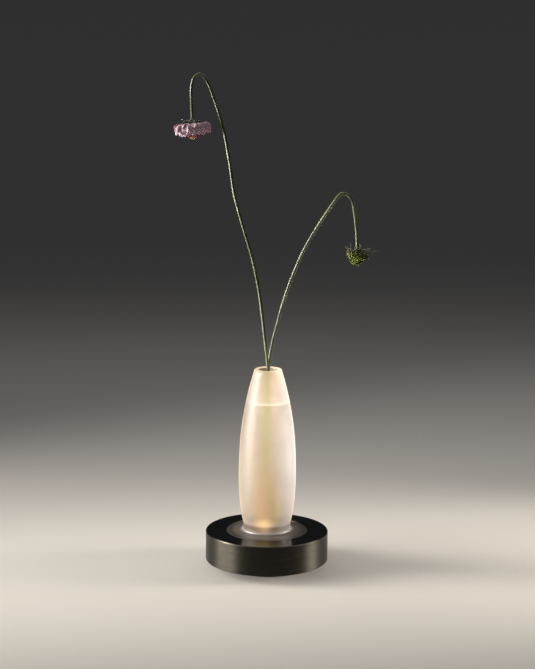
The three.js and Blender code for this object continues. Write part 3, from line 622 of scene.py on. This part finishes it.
def stalk(name, line, radii):
    """A ribbed stalk along a line in metres, closed at both ends, with a radius in mm for each point."""
    section = bpy.data.curves.new(name + "_section", "CURVE")
    ring = section.splines.new("POLY")
    ring.points.add(2 * STEM_RIBS - 1)
    for i, point in enumerate(ring.points):
        angle = math.pi * i / STEM_RIBS
        reach = (1 - RIB_DEPTH * (i % 2)) * MM
        point.co = (reach * math.cos(angle), reach * math.sin(angle), 0, 1)
    ring.use_cyclic_u = True
    path = bpy.data.curves.new(name, "CURVE")
    path.dimensions = "3D"
    path.bevel_mode = "OBJECT"
    outline = placed(name + "_section", section)
    path.bevel_object = outline
    path.use_fill_caps = True
    route = path.splines.new("POLY")
    route.points.add(len(line) - 1)
    for point, place, radius in zip(route.points, line, radii):
        point.co = (*place, 1)
        point.radius = radius
    select(placed(name, path))
    bpy.ops.object.convert(target="MESH")
    bpy.data.objects.remove(outline)
    return cleaned(bpy.context.object)


def joined(name, pieces, hang=Matrix()):
    """One piece made of several, which a matrix moves first."""
    select(pieces[0])
    for piece in pieces:
        piece.data.transform(hang)
        piece.select_set(True)
    bpy.ops.object.join()
    whole = bpy.context.object
    whole.name = whole.data.name = name
    return whole


def bend(root, middle, tip, v):
    """The place and slope at v on a bend from root to tip, drawn towards middle, in (radius, height)."""
    root, middle, tip = Vector(root), Vector(middle), Vector(tip)
    place = root * (1 - v) ** 2 + middle * 2 * v * (1 - v) + tip * v**2
    slope = (middle - root) * (1 - v) + (tip - middle) * v
    return place, slope.normalized()


def blade(name, columns, rows, shape, thickness):
    """A thin blade: a grid that shape(u, v) bends to a place in mm, with a thickness in mm.

    u runs across from -1 to 1 and v from 0 at the root to 1 at the tip."""
    select()
    bpy.ops.mesh.primitive_grid_add(x_subdivisions=columns, y_subdivisions=rows, size=2)
    piece = bpy.context.object
    piece.name = piece.data.name = name
    for vertex in piece.data.vertices:
        vertex.co = Vector(shape(vertex.co.x, (vertex.co.y + 1) / 2)) * MM
    finish_with(piece, "SOLIDIFY", thickness=thickness * MM, offset=0)
    return piece


def mark(piece, bract_share, place_of):
    """Notes where each point lies across and along its straightened stalk, and how much it is a bract's."""
    spots = [place_of(vertex.co) for vertex in piece.data.vertices]
    piece.data.attributes.new("stem_map", "FLOAT_VECTOR", "POINT")
    leafy = piece.data.attributes.new("bract_share", "FLOAT", "POINT")
    run = piece.data.attributes["stem_map"]
    for place, share, spot in zip(run.data, leafy.data, spots):
        place.vector = spot
        share.value = bract_share
    return piece


def straightened(line):
    """What tells a point near a stalk's line its place across and along it, as if it were straight."""
    runs = [0.0]
    for before, after in zip(line, line[1:]):
        runs.append(runs[-1] + (after - before).length)

    def place_of(spot):
        near = min(range(len(line)), key=lambda i: (line[i] - spot).length_squared)
        along = (line[min(near + 1, len(line) - 1)] - line[max(near - 1, 0)]).normalized()
        across = along.cross(Vector((0, 1, 0))).normalized()
        offset = spot - line[near]
        return offset.dot(across), offset.y, runs[near] + offset.dot(along)

    return place_of


def bract(root, middle, tip, half, azimuth, bract_share=1.0):
    """A narrow leaf, folded along its rib and drawn out to a point."""

    def shape(u, v):
        (radius, height), slope = bend(root, middle, tip, v)
        wide = half * (0.5 + 1.1 * v) * (max(1 - v, 0) ** 0.7) + 0.04
        lift = BRACT_FOLD * wide * abs(u)
        return radius - slope.y * lift, u * wide, height + slope.x * lift

    leaf = blade("bract", 4, 10, shape, BRACT_THICKNESS)
    leaf = mark(leaf, bract_share, lambda spot: (spot.y, spot.z, spot.x))
    leaf.data.transform(Matrix.Rotation(azimuth, 4, "Z"))
    return leaf


def hairs(line, radii, seed):
    """Short stiff hairs that stand out of a stalk above the water, as three-sided points on its surface."""
    draw = random.Random(seed)
    verts, faces = [], []
    for _ in range(HAIRS):
        spot = FIRST_HAIR + (len(line) - 2 - FIRST_HAIR) * draw.random()
        index = int(spot)
        along = (line[index + 1] - line[index]).normalized()
        root = line[index].lerp(line[index + 1], spot - index)
        side = along.orthogonal().normalized()
        out = Matrix.Rotation(draw.random() * 2 * math.pi, 3, along) @ side
        reach = HAIR_LENGTH * (0.6 + 0.8 * draw.random()) * MM
        base = root + out * (radii[index] - 0.1) * MM
        start = len(verts)
        for k in range(3):
            spread = Matrix.Rotation(k * 2 * math.pi / 3, 3, out) @ along
            verts.append(base + spread * HAIR_WIDTH * MM)
        verts.append(base + (out + along * draw.uniform(-0.5, 0.2)) * reach)
        corners = ((0, 2, 1), (0, 1, 3), (1, 2, 3), (2, 0, 3))
        faces += [(start + a, start + b, start + c) for a, b, c in corners]
    mesh = bpy.data.meshes.new("hairs")
    mesh.from_pydata(verts, [], faces)
    return cleaned(placed("hairs", mesh))


def grown(name, points, radius, taper, tilt, seed):
    """A stem's stalk, its hairs, and the matrix that hangs a flower built round +Z face down from its end."""
    line = [p * MM for p in smooth_line(points, STEM_STEPS)]
    radii = [radius * (1.04 - taper * i / len(line)) for i in range(len(line))]
    stem = mark(stalk(name, line, radii), 0.0, straightened(line))
    turn = Matrix.Rotation(math.pi + tilt[0], 4, "X") @ Matrix.Rotation(tilt[1], 4, "Y")
    return stem, hairs(line, radii, seed), Matrix.Translation(line[-1]) @ turn


def stem_green(name, shade, middle, light, bract_tone_and_shade, sheen, young_from=None):
    """Fresh stem: a waxy green skin, paler along its ribs, which the light draws into a line.

    Its streaks are 0.7 mm apart and follow the stalk. Under water it has a painted glow, for the light in
    the base that shines into it. The stalk is young, a fuller green and dull, from young_from mm along it,
    if given."""
    finish, tree, shader = new_finish(
        name, ior=1.8, sheen_weight=sheen, sheen_roughness=0.35, sheen_tint="#f6f1e0",
        subsurface_weight=0.1, subsurface_radius=(0.6, 1.0, 0.3), subsurface_scale=0.8 * MM,
        emission_color="#a9c82e",
    )
    run = add(tree, "Attribute", attribute_name="stem_map").outputs["Vector"]
    streaks = add(tree, "Mapping", {"Vector": run, "Scale": grain(0.7, 0.7, 16)})
    streak = add(tree, "TexNoise", {"Vector": streaks, "Scale": 1, "Detail": 3})
    patches = add(tree, "Mapping", {"Vector": run, "Scale": grain(30, 30, 40)})
    patch = add(tree, "TexNoise", {"Vector": patches, "Scale": 1, "Detail": 2})
    both = add(tree, "Mix", {"Factor": 0.5, VALUE_A: streak, VALUE_B: patch}, data_type="FLOAT")
    tone = add(tree, "ValToRGB", {"Fac": both}, [(0.36, shade), (0.5, middle), (0.66, light)])
    leafy = add(tree, "Attribute", attribute_name="bract_share").outputs["Fac"]
    dull = leafy
    if young_from:
        along = add(tree, "SeparateXYZ", {"Vector": run}).outputs["Z"]
        young = add(tree, "MapRange", (along, young_from * MM, (young_from + YOUNG_BLEND) * MM, 0, 0.8))
        tone = add(tree, "Mix", {"Factor": young, COLOUR_A: tone, COLOUR_B: "#324c17"}, data_type="RGBA")
        dull = add(tree, "Math", (leafy, young), operation="MAXIMUM")
    # Bracts take their own tone: for the pink flower a near black, which is painted shade; for the seed head
    # their grey green.
    streaked = add(tree, "MapRange", (streak, 0.3, 0.7, 1, 0.8))
    share = add(tree, "Math", (leafy, streaked), operation="MULTIPLY")
    skin = add(tree, "Mix", {"Factor": share, COLOUR_A: tone, COLOUR_B: bract_tone_and_shade}, data_type="RGBA")
    gloss = add(tree, "MapRange", (dull, 0, 1, 0.27, 0.85))
    bump = add(tree, "Bump", {"Height": streak, "Strength": 0.3, "Distance": 0.1 * MM})
    place = add(tree, "TexCoord").outputs["Object"]
    level = add(tree, "SeparateXYZ", {"Vector": place}).outputs["Z"]
    underwater_painted_glow = add(tree, "MapRange", (level, LIT_START * MM, WATER_LEVEL * MM, 0.5, 0))
    feed(shader, {"Base Color": skin, "Roughness": gloss, "Normal": bump})
    feed(shader, {"Emission Strength": underwater_painted_glow})
    return finish


PINK_STEM_RADIUS = 1.6
PINK_STEM_POINTS = [
    (10, -8, 50), (6.4, -5.8, 110), (2.9, -3.8, 170), (0.0, -2.1, 212.5), (-3.7, -0.8, 246),
    (-10.3, 1.4, 296), (-17.4, 2.6, 329.5), (-27.4, 3.9, 362.5), (-36.4, 5.2, 395.5),
    (-41.4, 6.5, 428), (-47.8, 7.7, 461), (-57.9, 8.9, 493), (-66.2, 9.6, 512),
    (-72.5, 9.9, 517.3), (-78.1, 9.9, 513.9), (-81, 9.8, 503), (-80.8, 9.5, 487), (-80, 9.3, 471.7),
]
PINK_TILT = (-0.08, 0.03)
YOUNG_FROM = 497
BRACT_RINGS = [
    # bracts, share of the full reach, how much lower, turn in bracts
    (10, 1.0, 0.0, 0.0),
    (8, 0.72, -0.5, 0.5),
]
BRACT_REACHES = (13.4, 11.4)
BRACT_HALF = 2.4
UPTURNED_BRACT = 5
UPTURN = -4

pink_stalk, pink_hairs, pink_hang = grown(
    "pink_stalk", PINK_STEM_POINTS, PINK_STEM_RADIUS, 0.12, PINK_TILT, 5
)
pink_profile = [
    (PINK_STEM_RADIUS * 0.9, -2), (1.7, -1), (2.4, 0), (3.8, 0.9), (5.4, 1.8), (5.7, 2.2), (5.4, 2.6)
]
pink_back = turned("pink_back", pink_profile, 32)
pink_greens = [mark(pink_back, 0.8, lambda spot: spot)]
for count, reach_share, drop, turn in BRACT_RINGS:
    for i in range(count):
        # The upturned one lies in the light against the petals, so it keeps the stalk's tone, not the bracts'
        # painted shade.
        upturned = i == UPTURNED_BRACT and drop == 0
        curl = UPTURN if upturned else -0.6 * (i % 2)
        root = (3, 1.8 + drop * 0.4)
        middle = (8 * reach_share, 1.3 + drop)
        tip = (BRACT_REACHES[i % 2] * reach_share, 3.9 + curl + drop)
        azimuth = (i + turn) * 2 * math.pi / count
        share = 0.0 if upturned else 1.0
        pink_greens.append(bract(root, middle, tip, BRACT_HALF, azimuth, share))
for piece in pink_greens:
    piece.data.transform(pink_hang)
pink_stem = joined("pink_flower_stem_piece", [pink_stalk, *pink_greens, pink_hairs])
# Its bracts are painted near black, a painted shade: they hang in the flower's shadow.
fresh_green = stem_green(
    "fresh_green_scabious_stem", "#38431a", "#505b2d", "#787f57", "#12160a", 0.1, YOUNG_FROM
)
dress(pink_stem, fresh_green, "pink_stem_green", "pink_flower_stem", smooth_degrees=60)

SEED_STEM_RADIUS = 1.8
SEED_STEM_POINTS = [
    (-9, 7, 50), (-5.6, 5.4, 110), (-2, 3.7, 170), (0.1, 2.2, 212), (3.8, 1.2, 237.5),
    (9.6, 0.2, 263), (16.8, -0.6, 288.5), (25.5, -1.4, 313.5), (36.3, -2.2, 338.5),
    (50.4, -3, 363.5), (66.4, -3.8, 388), (70.9, -4, 394.3), (74.9, -4.1, 397),
    (81.5, -4.1, 394.5), (85.4, -4, 388.5), (87.8, -3.8, 376), (90.1, -3.2, 360), (91.3, -2.6, 341.6),
]
SEED_TILT = (0.03, 0.04)
SEED_ROOT = (2.6, 2.6)
SEED_BRACTS = [
    # azimuth in degrees, tip, the point that draws the bend, half the width
    (203, (13.5, -3.0), (12, 3.0), 1.3),
    (215, (8.2, -5.4), (9.6, 1.6), 0.8),
    (250, (7.5, -4.6), (9, 1.4), 0.8),
    (285, (7.8, -4.7), (9, 1.6), 0.9),
    (320, (9, -0.6), (8, 2.2), 1.4),
    (345, (20, 9.4), (13, 1.6), 1.7),
    (2, (23, 4.6), (14, 4), 1.7),
    (25, (17, 1.4), (12, 3.2), 1.4),
    (65, (11, -2.4), (10, 2), 1.0),
    (105, (9, -4), (9.5, 1.6), 0.9),
    (145, (12, -1), (10, 2.4), 1.0),
]

seed_stalk, seed_hairs, seed_hang = grown(
    "seed_stalk", SEED_STEM_POINTS, SEED_STEM_RADIUS, 0.14, SEED_TILT, 6
)
seed_profile = [
    (SEED_STEM_RADIUS * 0.88, -2), (1.8, -1), (2.2, 0), (2.8, 1.1), (3.6, 2.2), (4.2, 3.2), (4.6, 4.1)
]
seed_back = turned("seed_back", seed_profile, 32)
seed_greens = [mark(seed_back, 0.5, lambda spot: spot)]
for number, (azimuth, tip, middle, half) in enumerate(SEED_BRACTS):
    seed_greens.append(bract(SEED_ROOT, middle, tip, half, math.radians(-azimuth)))
    if number % 2 == 0:
        # A thin second bract beside every other one, a little shorter.
        shorter = (tip[0] * 0.8, tip[1] * 0.7 + 0.6)
        seed_greens.append(bract(SEED_ROOT, middle, shorter, half * 0.5, math.radians(-azimuth - 17)))
for piece in seed_greens:
    piece.data.transform(seed_hang)
seed_stem = joined("seed_head_stem_piece", [seed_stalk, *seed_greens, seed_hairs])
grey_green = stem_green("fresh_grey_green_scabious_stem", "#454f2a", "#6a724c", "#a0a584", "#5d654e", 0.35)
dress(seed_stem, grey_green, "seed_stem_green", "seed_head_stem", smooth_degrees=60)

# ==== Pink petals ====
# A double scabious hanging face down: rings of thin, frilled, notched petals round a low core, pale pink
# with a mauve heart and fine veins. The core fills the middle, where petals too many to draw stand close.

PETAL_THICKNESS = 0.16
OPEN_SIDE = math.pi / 3
PETAL_KINDS = 3
PETAL_LAYERS = [
    # count, turn, root, middle, tip, half width, ruffle, shorter on the open side
    (11, 0.0, (6.0, 6.2), (15.0, 1.6), (17.9, 8.6), 6.0, 0.6, 0.0),
    (11, 0.3, (6.4, 6.8), (20.2, 3.4), (17.9, 12.6), 6.2, 0.8, 0.05),
    (10, 0.1, (7.0, 7.8), (18.4, 6.4), (16.6, 15.2), 5.8, 0.8, 0.12),
    (9, 0.45, (7.0, 9.0), (15.0, 9.4), (14.0, 16.6), 4.9, 0.7, 0.25),
    (8, 0.15, (7.0, 10.2), (12.2, 10.8), (11.2, 17.4), 4.2, 0.5, 0.35),
]
CORE_PROFILE = [
    (5.4, 5.0), (10, 5.6), (13, 7.0), (14.2, 9.0), (13.6, 11.2), (11.4, 13), (8.4, 13.4), (3, 13.2)
]


def copied(piece, matrix):
    """A copy of a piece with its own mesh, moved by a matrix."""
    mesh = piece.data.copy()
    mesh.transform(matrix)
    return placed(piece.name, mesh)


def frilled_petal(root, middle, tip, half, ruffle, draw):
    """A petal that widens from its root, with three lobes, small nicks and a frilled edge."""
    phase = draw.random() * 2 * math.pi
    nicks = draw.random() * 2 * math.pi
    twist = draw.uniform(-0.2, 0.2)

    def shape(u, v):
        v *= 0.95 + 0.035 * math.cos(3 * math.pi * u) + 0.015 * math.cos(9 * math.pi * u + nicks)
        (radius, height), slope = bend(root, middle, tip, v)
        wide = half * (0.3 + 0.7 * math.sin(v * math.pi / 2))
        frill = math.sin(1.7 * math.pi * u + phase) + 0.12 * math.sin(5.3 * math.pi * u + nicks)
        cup = -0.1 * half * u * u * v
        lift = ruffle * v**1.5 * frill + cup + twist * u * wide * v
        return radius - slope.y * lift, u * wide, height + slope.x * lift

    return blade("petal", 14, 9, shape, PETAL_THICKNESS)


petal_draw = random.Random(11)
petals = [turned("petal_core", CORE_PROFILE, 48)]
for count, turn, root, middle, tip, half, ruffle, shorter in PETAL_LAYERS:
    kinds = [frilled_petal(root, middle, tip, half, ruffle, petal_draw) for _ in range(PETAL_KINDS)]
    for i in range(count):
        azimuth = turn + 2 * math.pi * i / count + petal_draw.uniform(-0.09, 0.09)
        open_share = max(0.0, math.cos(azimuth - OPEN_SIDE))
        reach = petal_draw.uniform(0.96, 1.0) * (1 - shorter * open_share)
        size = Matrix.Diagonal((reach, 1, 1 - 0.12 * (1 - reach), 1))
        petals.append(copied(kinds[i % PETAL_KINDS], Matrix.Rotation(azimuth, 4, "Z") @ size))
    for kind in kinds:
        bpy.data.objects.remove(kind)
# The petals lean: they hang a little lower on one side.
petal_lean = Matrix.Rotation(0.06, 4, "Y") @ Matrix.Rotation(0.14, 4, "X")
petal_lean = Matrix.Translation((0, 0, 8.2 * MM)) @ petal_lean @ Matrix.Translation((0, 0, -8 * MM))
pink_petals = joined("pink_petals_piece", petals, pink_hang @ petal_lean)

# Petal: thin and matt, deeper mauve in the heart and paler towards its frill, the frill partly painted paler
# as a painted highlight for the light it catches. Veins are some 0.5 mm apart and run along it, so they
# follow its own map. A faint glow stands in for the light that passes through it.
petal_skin, tree, shader = new_finish(
    "fresh_pink_petal", roughness=0.65, specular_ior_level=0.25, subsurface_weight=0.1,
    subsurface_radius=(1.0, 0.78, 0.84), subsurface_scale=1.6 * MM, emission_color="#d0a8b4",
    emission_strength=0.07,
)
along = add(tree, "UVMap", uv_map="UVMap").outputs["UV"]
split = add(tree, "SeparateXYZ", {"Vector": along})
veins = add(tree, "Mapping", {"Vector": along, "Scale": (22, 1.6, 1)})
vein = add(tree, "TexNoise", {"Vector": veins, "Scale": 1, "Detail": 3})
blush_and_frill_highlight_tones = [(0.0, "#8d6f7c"), (0.4, "#9c7d8a"), (0.75, "#ab8f9b"), (1.0, "#b7a2ac")]
blush = add(tree, "ValToRGB", {"Fac": split.outputs["Y"]}, blush_and_frill_highlight_tones)
thread = add(tree, "ValToRGB", {"Fac": vein}, [(0.34, "#dcc0ca"), (0.52, "#ffffff")])
tint = add(
    tree, "Mix", {"Factor": 0.4, COLOUR_A: blush, COLOUR_B: thread}, data_type="RGBA", blend_type="MULTIPLY"
)
bump = add(tree, "Bump", {"Height": vein, "Strength": 0.25, "Distance": 0.12 * MM})
feed(shader, {"Base Color": tint, "Normal": bump})
dress(pink_petals, petal_skin, "pink_petals", "pink_flower_petals", smooth_degrees=60)

# ==== Crimson florets ====
# The flower's small inner florets, still half closed: crimson tubes with flared lobes, packed on a spiral
# over a low dome in its heart, where the petals leave it open.

GOLDEN_ANGLE = math.pi * (3 - math.sqrt(5))
FLORETS = 46
FLORET_INNER = 3.0
FLORET_SPREAD = 4.4
FLORET_CROWN = 16.8
FLORET_DROP = 2.2
FLORET_LOBES = 5
LOBE_DEPTH = 0.28


def standing(radius, height, lean, azimuth, stretch=1.0):
    """The matrix that stands a piece built on +Z on a dome, leaning out from its axis, in mm."""
    place = Matrix.Translation((radius * MM, 0, height * MM))
    size = Matrix.Diagonal((1, 1, stretch, 1))
    return Matrix.Rotation(azimuth, 4, "Z") @ place @ Matrix.Rotation(lean, 4, "Y") @ size


floret_draw = random.Random(21)
floret_dome = turned(
    "floret_dome", [(6.6, 13), (6.6, 13.6), (6.3, 14.4), (5.6, 15.2), (4.6, 15.9), (3.1, 16.3)], 48
)
floret = turned("floret", [(0.4, -1.5), (0.55, -0.4), (0.75, 0.6), (1.15, 1.5), (1.0, 1.9), (0.5, 1.5)], 10)
for vertex in floret.data.vertices:
    lobe = 1 + LOBE_DEPTH * math.cos(FLORET_LOBES * math.atan2(vertex.co.y, vertex.co.x))
    if vertex.co.z > 1.2 * MM and vertex.co.xy.length > 0.8 * MM:
        vertex.co.x *= lobe
        vertex.co.y *= lobe
florets = [floret_dome]
for i in range(FLORETS):
    share = (i + 0.5) / FLORETS
    radius = FLORET_INNER + FLORET_SPREAD * share
    height = FLORET_CROWN - FLORET_DROP * share * share
    lean = 0.1 + 0.7 * share
    stretch = floret_draw.uniform(0.85, 1.1)
    florets.append(copied(floret, standing(radius, height, lean, i * GOLDEN_ANGLE, stretch)))
bpy.data.objects.remove(floret)
crimson = joined("crimson_florets_piece", florets, pink_hang)

# Crimson petal tissue: soft, a little glossy, wine red in its folds and rosy on its lobes.
crimson_tones = [(0.32, "#5b1022"), (0.52, "#96263c"), (0.72, "#c65b6c")]
floret_skin, *_ = mottled(
    "crimson_floret_tissue", 1.6, 3, crimson_tones, roughness=0.42, subsurface_weight=0.15,
    subsurface_radius=(1.0, 0.2, 0.25), subsurface_scale=0.6 * MM,
)
dress(crimson, floret_skin, "crimson_florets", "pink_flower_florets", smooth_degrees=50)

# ==== Cream pins ====
# The styles, which push out of the florets at the flower's tip: thin cream stalks with a small warm head,
# round a low dome of younger ones.

PINS = 26
PIN_SPREAD = 2.3
PIN_CROWN = 19.0
PIN_DROP = 1.1
pin_draw = random.Random(31)
pin_dome = turned("pin_dome", [(2.3, 16.6), (2.3, 17.4), (2.0, 18.1), (1.3, 18.7), (0.5, 18.9)], 32)
pin = turned(
    "pin", [(0.16, -1.6), (0.14, 0.5), (0.2, 0.9), (0.42, 1.15), (0.46, 1.4), (0.3, 1.6), (0.12, 1.66)], 8
)
pins = [pin_dome]
for i in range(PINS):
    share = (i + 0.5) / PINS
    radius = PIN_SPREAD * math.sqrt(share)
    height = PIN_CROWN - PIN_DROP * share + pin_draw.uniform(-0.3, 0.3)
    pins.append(copied(pin, standing(radius, height, 0.65 * share, i * GOLDEN_ANGLE)))
bpy.data.objects.remove(pin)
cream = joined("cream_pins_piece", pins, pink_hang)

# Style tissue: waxy cream, with an orange blush of pollen on the heads.
cream_tones = [(0.35, "#c98a54"), (0.55, "#e8c795"), (0.75, "#f5e6c6")]
pin_skin, *_ = mottled(
    "waxy_cream_style", 1.1, 2, cream_tones, roughness=0.45, subsurface_weight=0.2,
    subsurface_radius=(1.0, 0.7, 0.4), subsurface_scale=0.5 * MM,
)
dress(cream, pin_skin, "cream_pins", "pink_flower_pins", smooth_degrees=50)

# ==== Green seed head ====
# A spent scabious head: a wide shoulder and a dome, packed with small green fruits. Each ends in a papery
# cup with five short bristles, which give the head its pale fuzzy edge.

HEAD_OUTLINE = [
    (4.6, 4.8), (8.3, 6.6), (9.3, 8.2), (8.3, 9.6), (6.2, 10.6), (5.9, 12.2), (5.0, 14.2), (3.6, 15.7),
    (2.0, 16.5), (0.3, 16.8),
]
HEAD_STEPS = 8
SHOULDER_SLOPE = 0.27
SHOULDER_END = 14
SHOULDER_FADE = 5
DOME_LEAN = 0.1
DOME_START = 6
FRUITS = 190
FRUIT_START = 0.1
BRISTLES = 5
CUP_START = 1.5
CUP_DEPTH = 0.6

head_draw = random.Random(41)
head_line = smooth_line(HEAD_OUTLINE, HEAD_STEPS)
seed_core = turned("seed_core", [(p.x * 0.93, p.y) for p in head_line], 48)
fruit = turned(
    "fruit", [(0.5, -0.9), (0.85, -0.2), (1.0, 0.4), (0.9, 0.85), (0.62, 1.1), (0.8, 1.4), (0.4, 1.2)], 8
)
bristle = turned("bristle", [(0.12, 0), (0.08, 0.8), (0.02, 1.6)], 3)
bristles = [copied(bristle, standing(0.3, 1.05, 0.4, 2 * math.pi * k / BRISTLES)) for k in range(BRISTLES)]
bpy.data.objects.remove(bristle)
fruit = joined("fruit", [fruit, *bristles])
papery = fruit.data.attributes.new("papery_share", "FLOAT", "POINT")
for vertex, share in zip(fruit.data.vertices, papery.data):
    share.value = min(max((vertex.co.z / MM - CUP_START) / CUP_DEPTH, 0), 1)

# The fruits sit on a spiral with the same area for each, so areas holds how much lies under each step.
areas = [0.0]
for before, after in zip(head_line, head_line[1:]):
    areas.append(areas[-1] + (after - before).length * (before.x + after.x) / 2)
fruits = [seed_core]
for i in range(FRUITS):
    wanted = areas[-1] * (FRUIT_START + (1 - FRUIT_START) * (i + 0.5) / FRUITS)
    step = next(k for k, area in enumerate(areas) if area >= wanted)
    share = (wanted - areas[step - 1]) / (areas[step] - areas[step - 1])
    spot = head_line[step - 1].lerp(head_line[step], share)
    slope = head_line[step] - head_line[step - 1]
    lean = math.atan2(slope.y, -slope.x) + head_draw.uniform(-0.12, 0.12)
    stretch = head_draw.uniform(0.8, 1.15)
    fruits.append(copied(fruit, standing(spot.x, spot.y, lean, i * GOLDEN_ANGLE, stretch)))
bpy.data.objects.remove(fruit)
for piece in fruits:
    # The shoulder slopes: it stands a little lower on one side. The dome under it leans to the other side.
    for vertex in piece.data.vertices:
        shoulder = min(max((SHOULDER_END * MM - vertex.co.z) / (SHOULDER_FADE * MM), 0), 1)
        vertex.co.x -= DOME_LEAN * max(vertex.co.z - DOME_START * MM, 0)
        vertex.co.z += SHOULDER_SLOPE * vertex.co.x * shoulder
seed_head = joined("seed_head_piece", fruits, seed_hang)

# Fruit skin: dull and downy, olive in the gaps and a pale yellow green on the tips, which dry to straw.
fruit_tones = [(0.38, "#141503"), (0.48, "#46500c"), (0.56, "#98a52a"), (0.66, "#dde56a")]
fruit_skin, tree, shader, _, tone = mottled(
    "downy_green_fruit", 2.8, 4, fruit_tones, (0.4, 0.2), roughness=0.62, sheen_weight=0.15,
    sheen_roughness=0.5,
)
paper = add(tree, "Attribute", attribute_name="papery_share").outputs["Fac"]
cup = add(tree, "Mix", {"Factor": paper, COLOUR_A: tone, COLOUR_B: "#b4b97c"}, data_type="RGBA")
feed(shader, {"Base Color": cup})
dress(seed_head, fruit_skin, "seed_head_green", "seed_head", smooth_degrees=50)

# ==== Camera, floor and light ====
# The view is the photograph's: from 1.35 m away, 7.8 degrees down, through a long lens. A plain pale floor
# runs off into dark walls. A tall soft light stands on the left, two low ones light the drum's side, and one
# hangs overhead.

FRAME_HEIGHT_PX = 669
FOCAL_PX = 1300
SENSOR = 36
CAMERA_PLACE = Vector((-0.9, -1346.3, 433.7)) * MM
CAMERA_PITCH = math.radians(7.78)
CAMERA_ROLL = math.radians(0.45)
FLOOR_RADIUS = 60

lens = bpy.data.cameras.new("photo_camera")
lens.sensor_width = SENSOR
lens.lens = SENSOR * FOCAL_PX / FRAME_HEIGHT_PX
lens.clip_start = 0.05
lens.clip_end = 200
camera = placed("photo_camera", lens)
camera.matrix_world = (
    Matrix.Translation(CAMERA_PLACE)
    @ Matrix.Rotation(math.radians(90) - CAMERA_PITCH, 4, "X")
    @ Matrix.Rotation(CAMERA_ROLL, 4, "Z")
)
bpy.context.scene.camera = camera

select()
bpy.ops.mesh.primitive_circle_add(vertices=96, radius=FLOOR_RADIUS, fill_type="NGON")
floor = bpy.context.object
floor.name = "pale_floor"
# Matt paper: pale and even, so that it gives the drum a soft shadow and no mirror image.
pale_paper, *_ = new_finish(
    "pale_matt_paper", base_color="#c8c5c0", roughness=0.8, specular_ior_level=0.2
)
coat(floor, pale_paper)

# The walls of the studio: dark near the floor, so that the floor has no hard end, and paler overhead.
world = bpy.data.worlds.new("studio")
world.use_nodes = True
tree = world.node_tree
ray = add(tree, "TexCoord").outputs["Generated"]
up = add(tree, "SeparateXYZ", {"Vector": ray}).outputs["Z"]
sky = add(tree, "ValToRGB", {"Fac": up}, [(0.0, "#303031"), (0.2, "#2e2e2f"), (1.0, "#4a4a4c")])
feed(tree.nodes["Background"], {"Color": sky})
bpy.context.scene.world = world


def softbox(name, place, target, width, height, power, tint, spread=180):
    """A rectangular soft light at a place in metres, facing a target, unseen by the camera."""
    lamp = bpy.data.lights.new(name, "AREA")
    lamp.shape = "RECTANGLE"
    lamp.size = width
    lamp.size_y = height
    lamp.energy = power
    lamp.color = linear(tint)[:3]
    lamp.spread = math.radians(spread)
    holder = placed(name, lamp)
    facing = Vector(target) - Vector(place)
    holder.matrix_world = Matrix.Translation(place) @ facing.to_track_quat("-Z", "Y").to_matrix().to_4x4()
    holder.visible_camera = False


softbox("key_left", (-1.2, 0.04, 0.53), (0, 0, 0.42), 0.4, 1.14, 12, "#fff9f0", 90)
softbox("low_left", (-0.87, -0.3, 0.16), (0, 0, 0.03), 0.4, 0.26, 0.72, "#fff9f0", 34)
softbox("low_right", (0.95, 0.04, 0.14), (0, 0, -0.09), 0.46, 0.26, 1.15, "#fff6ea", 30)
softbox("overhead", (0, 0.6, 1.7), (0, 0.2, 0), 2.6, 0.9, 7, "#ffffff")

bpy.context.scene.view_settings.view_transform = "Standard"
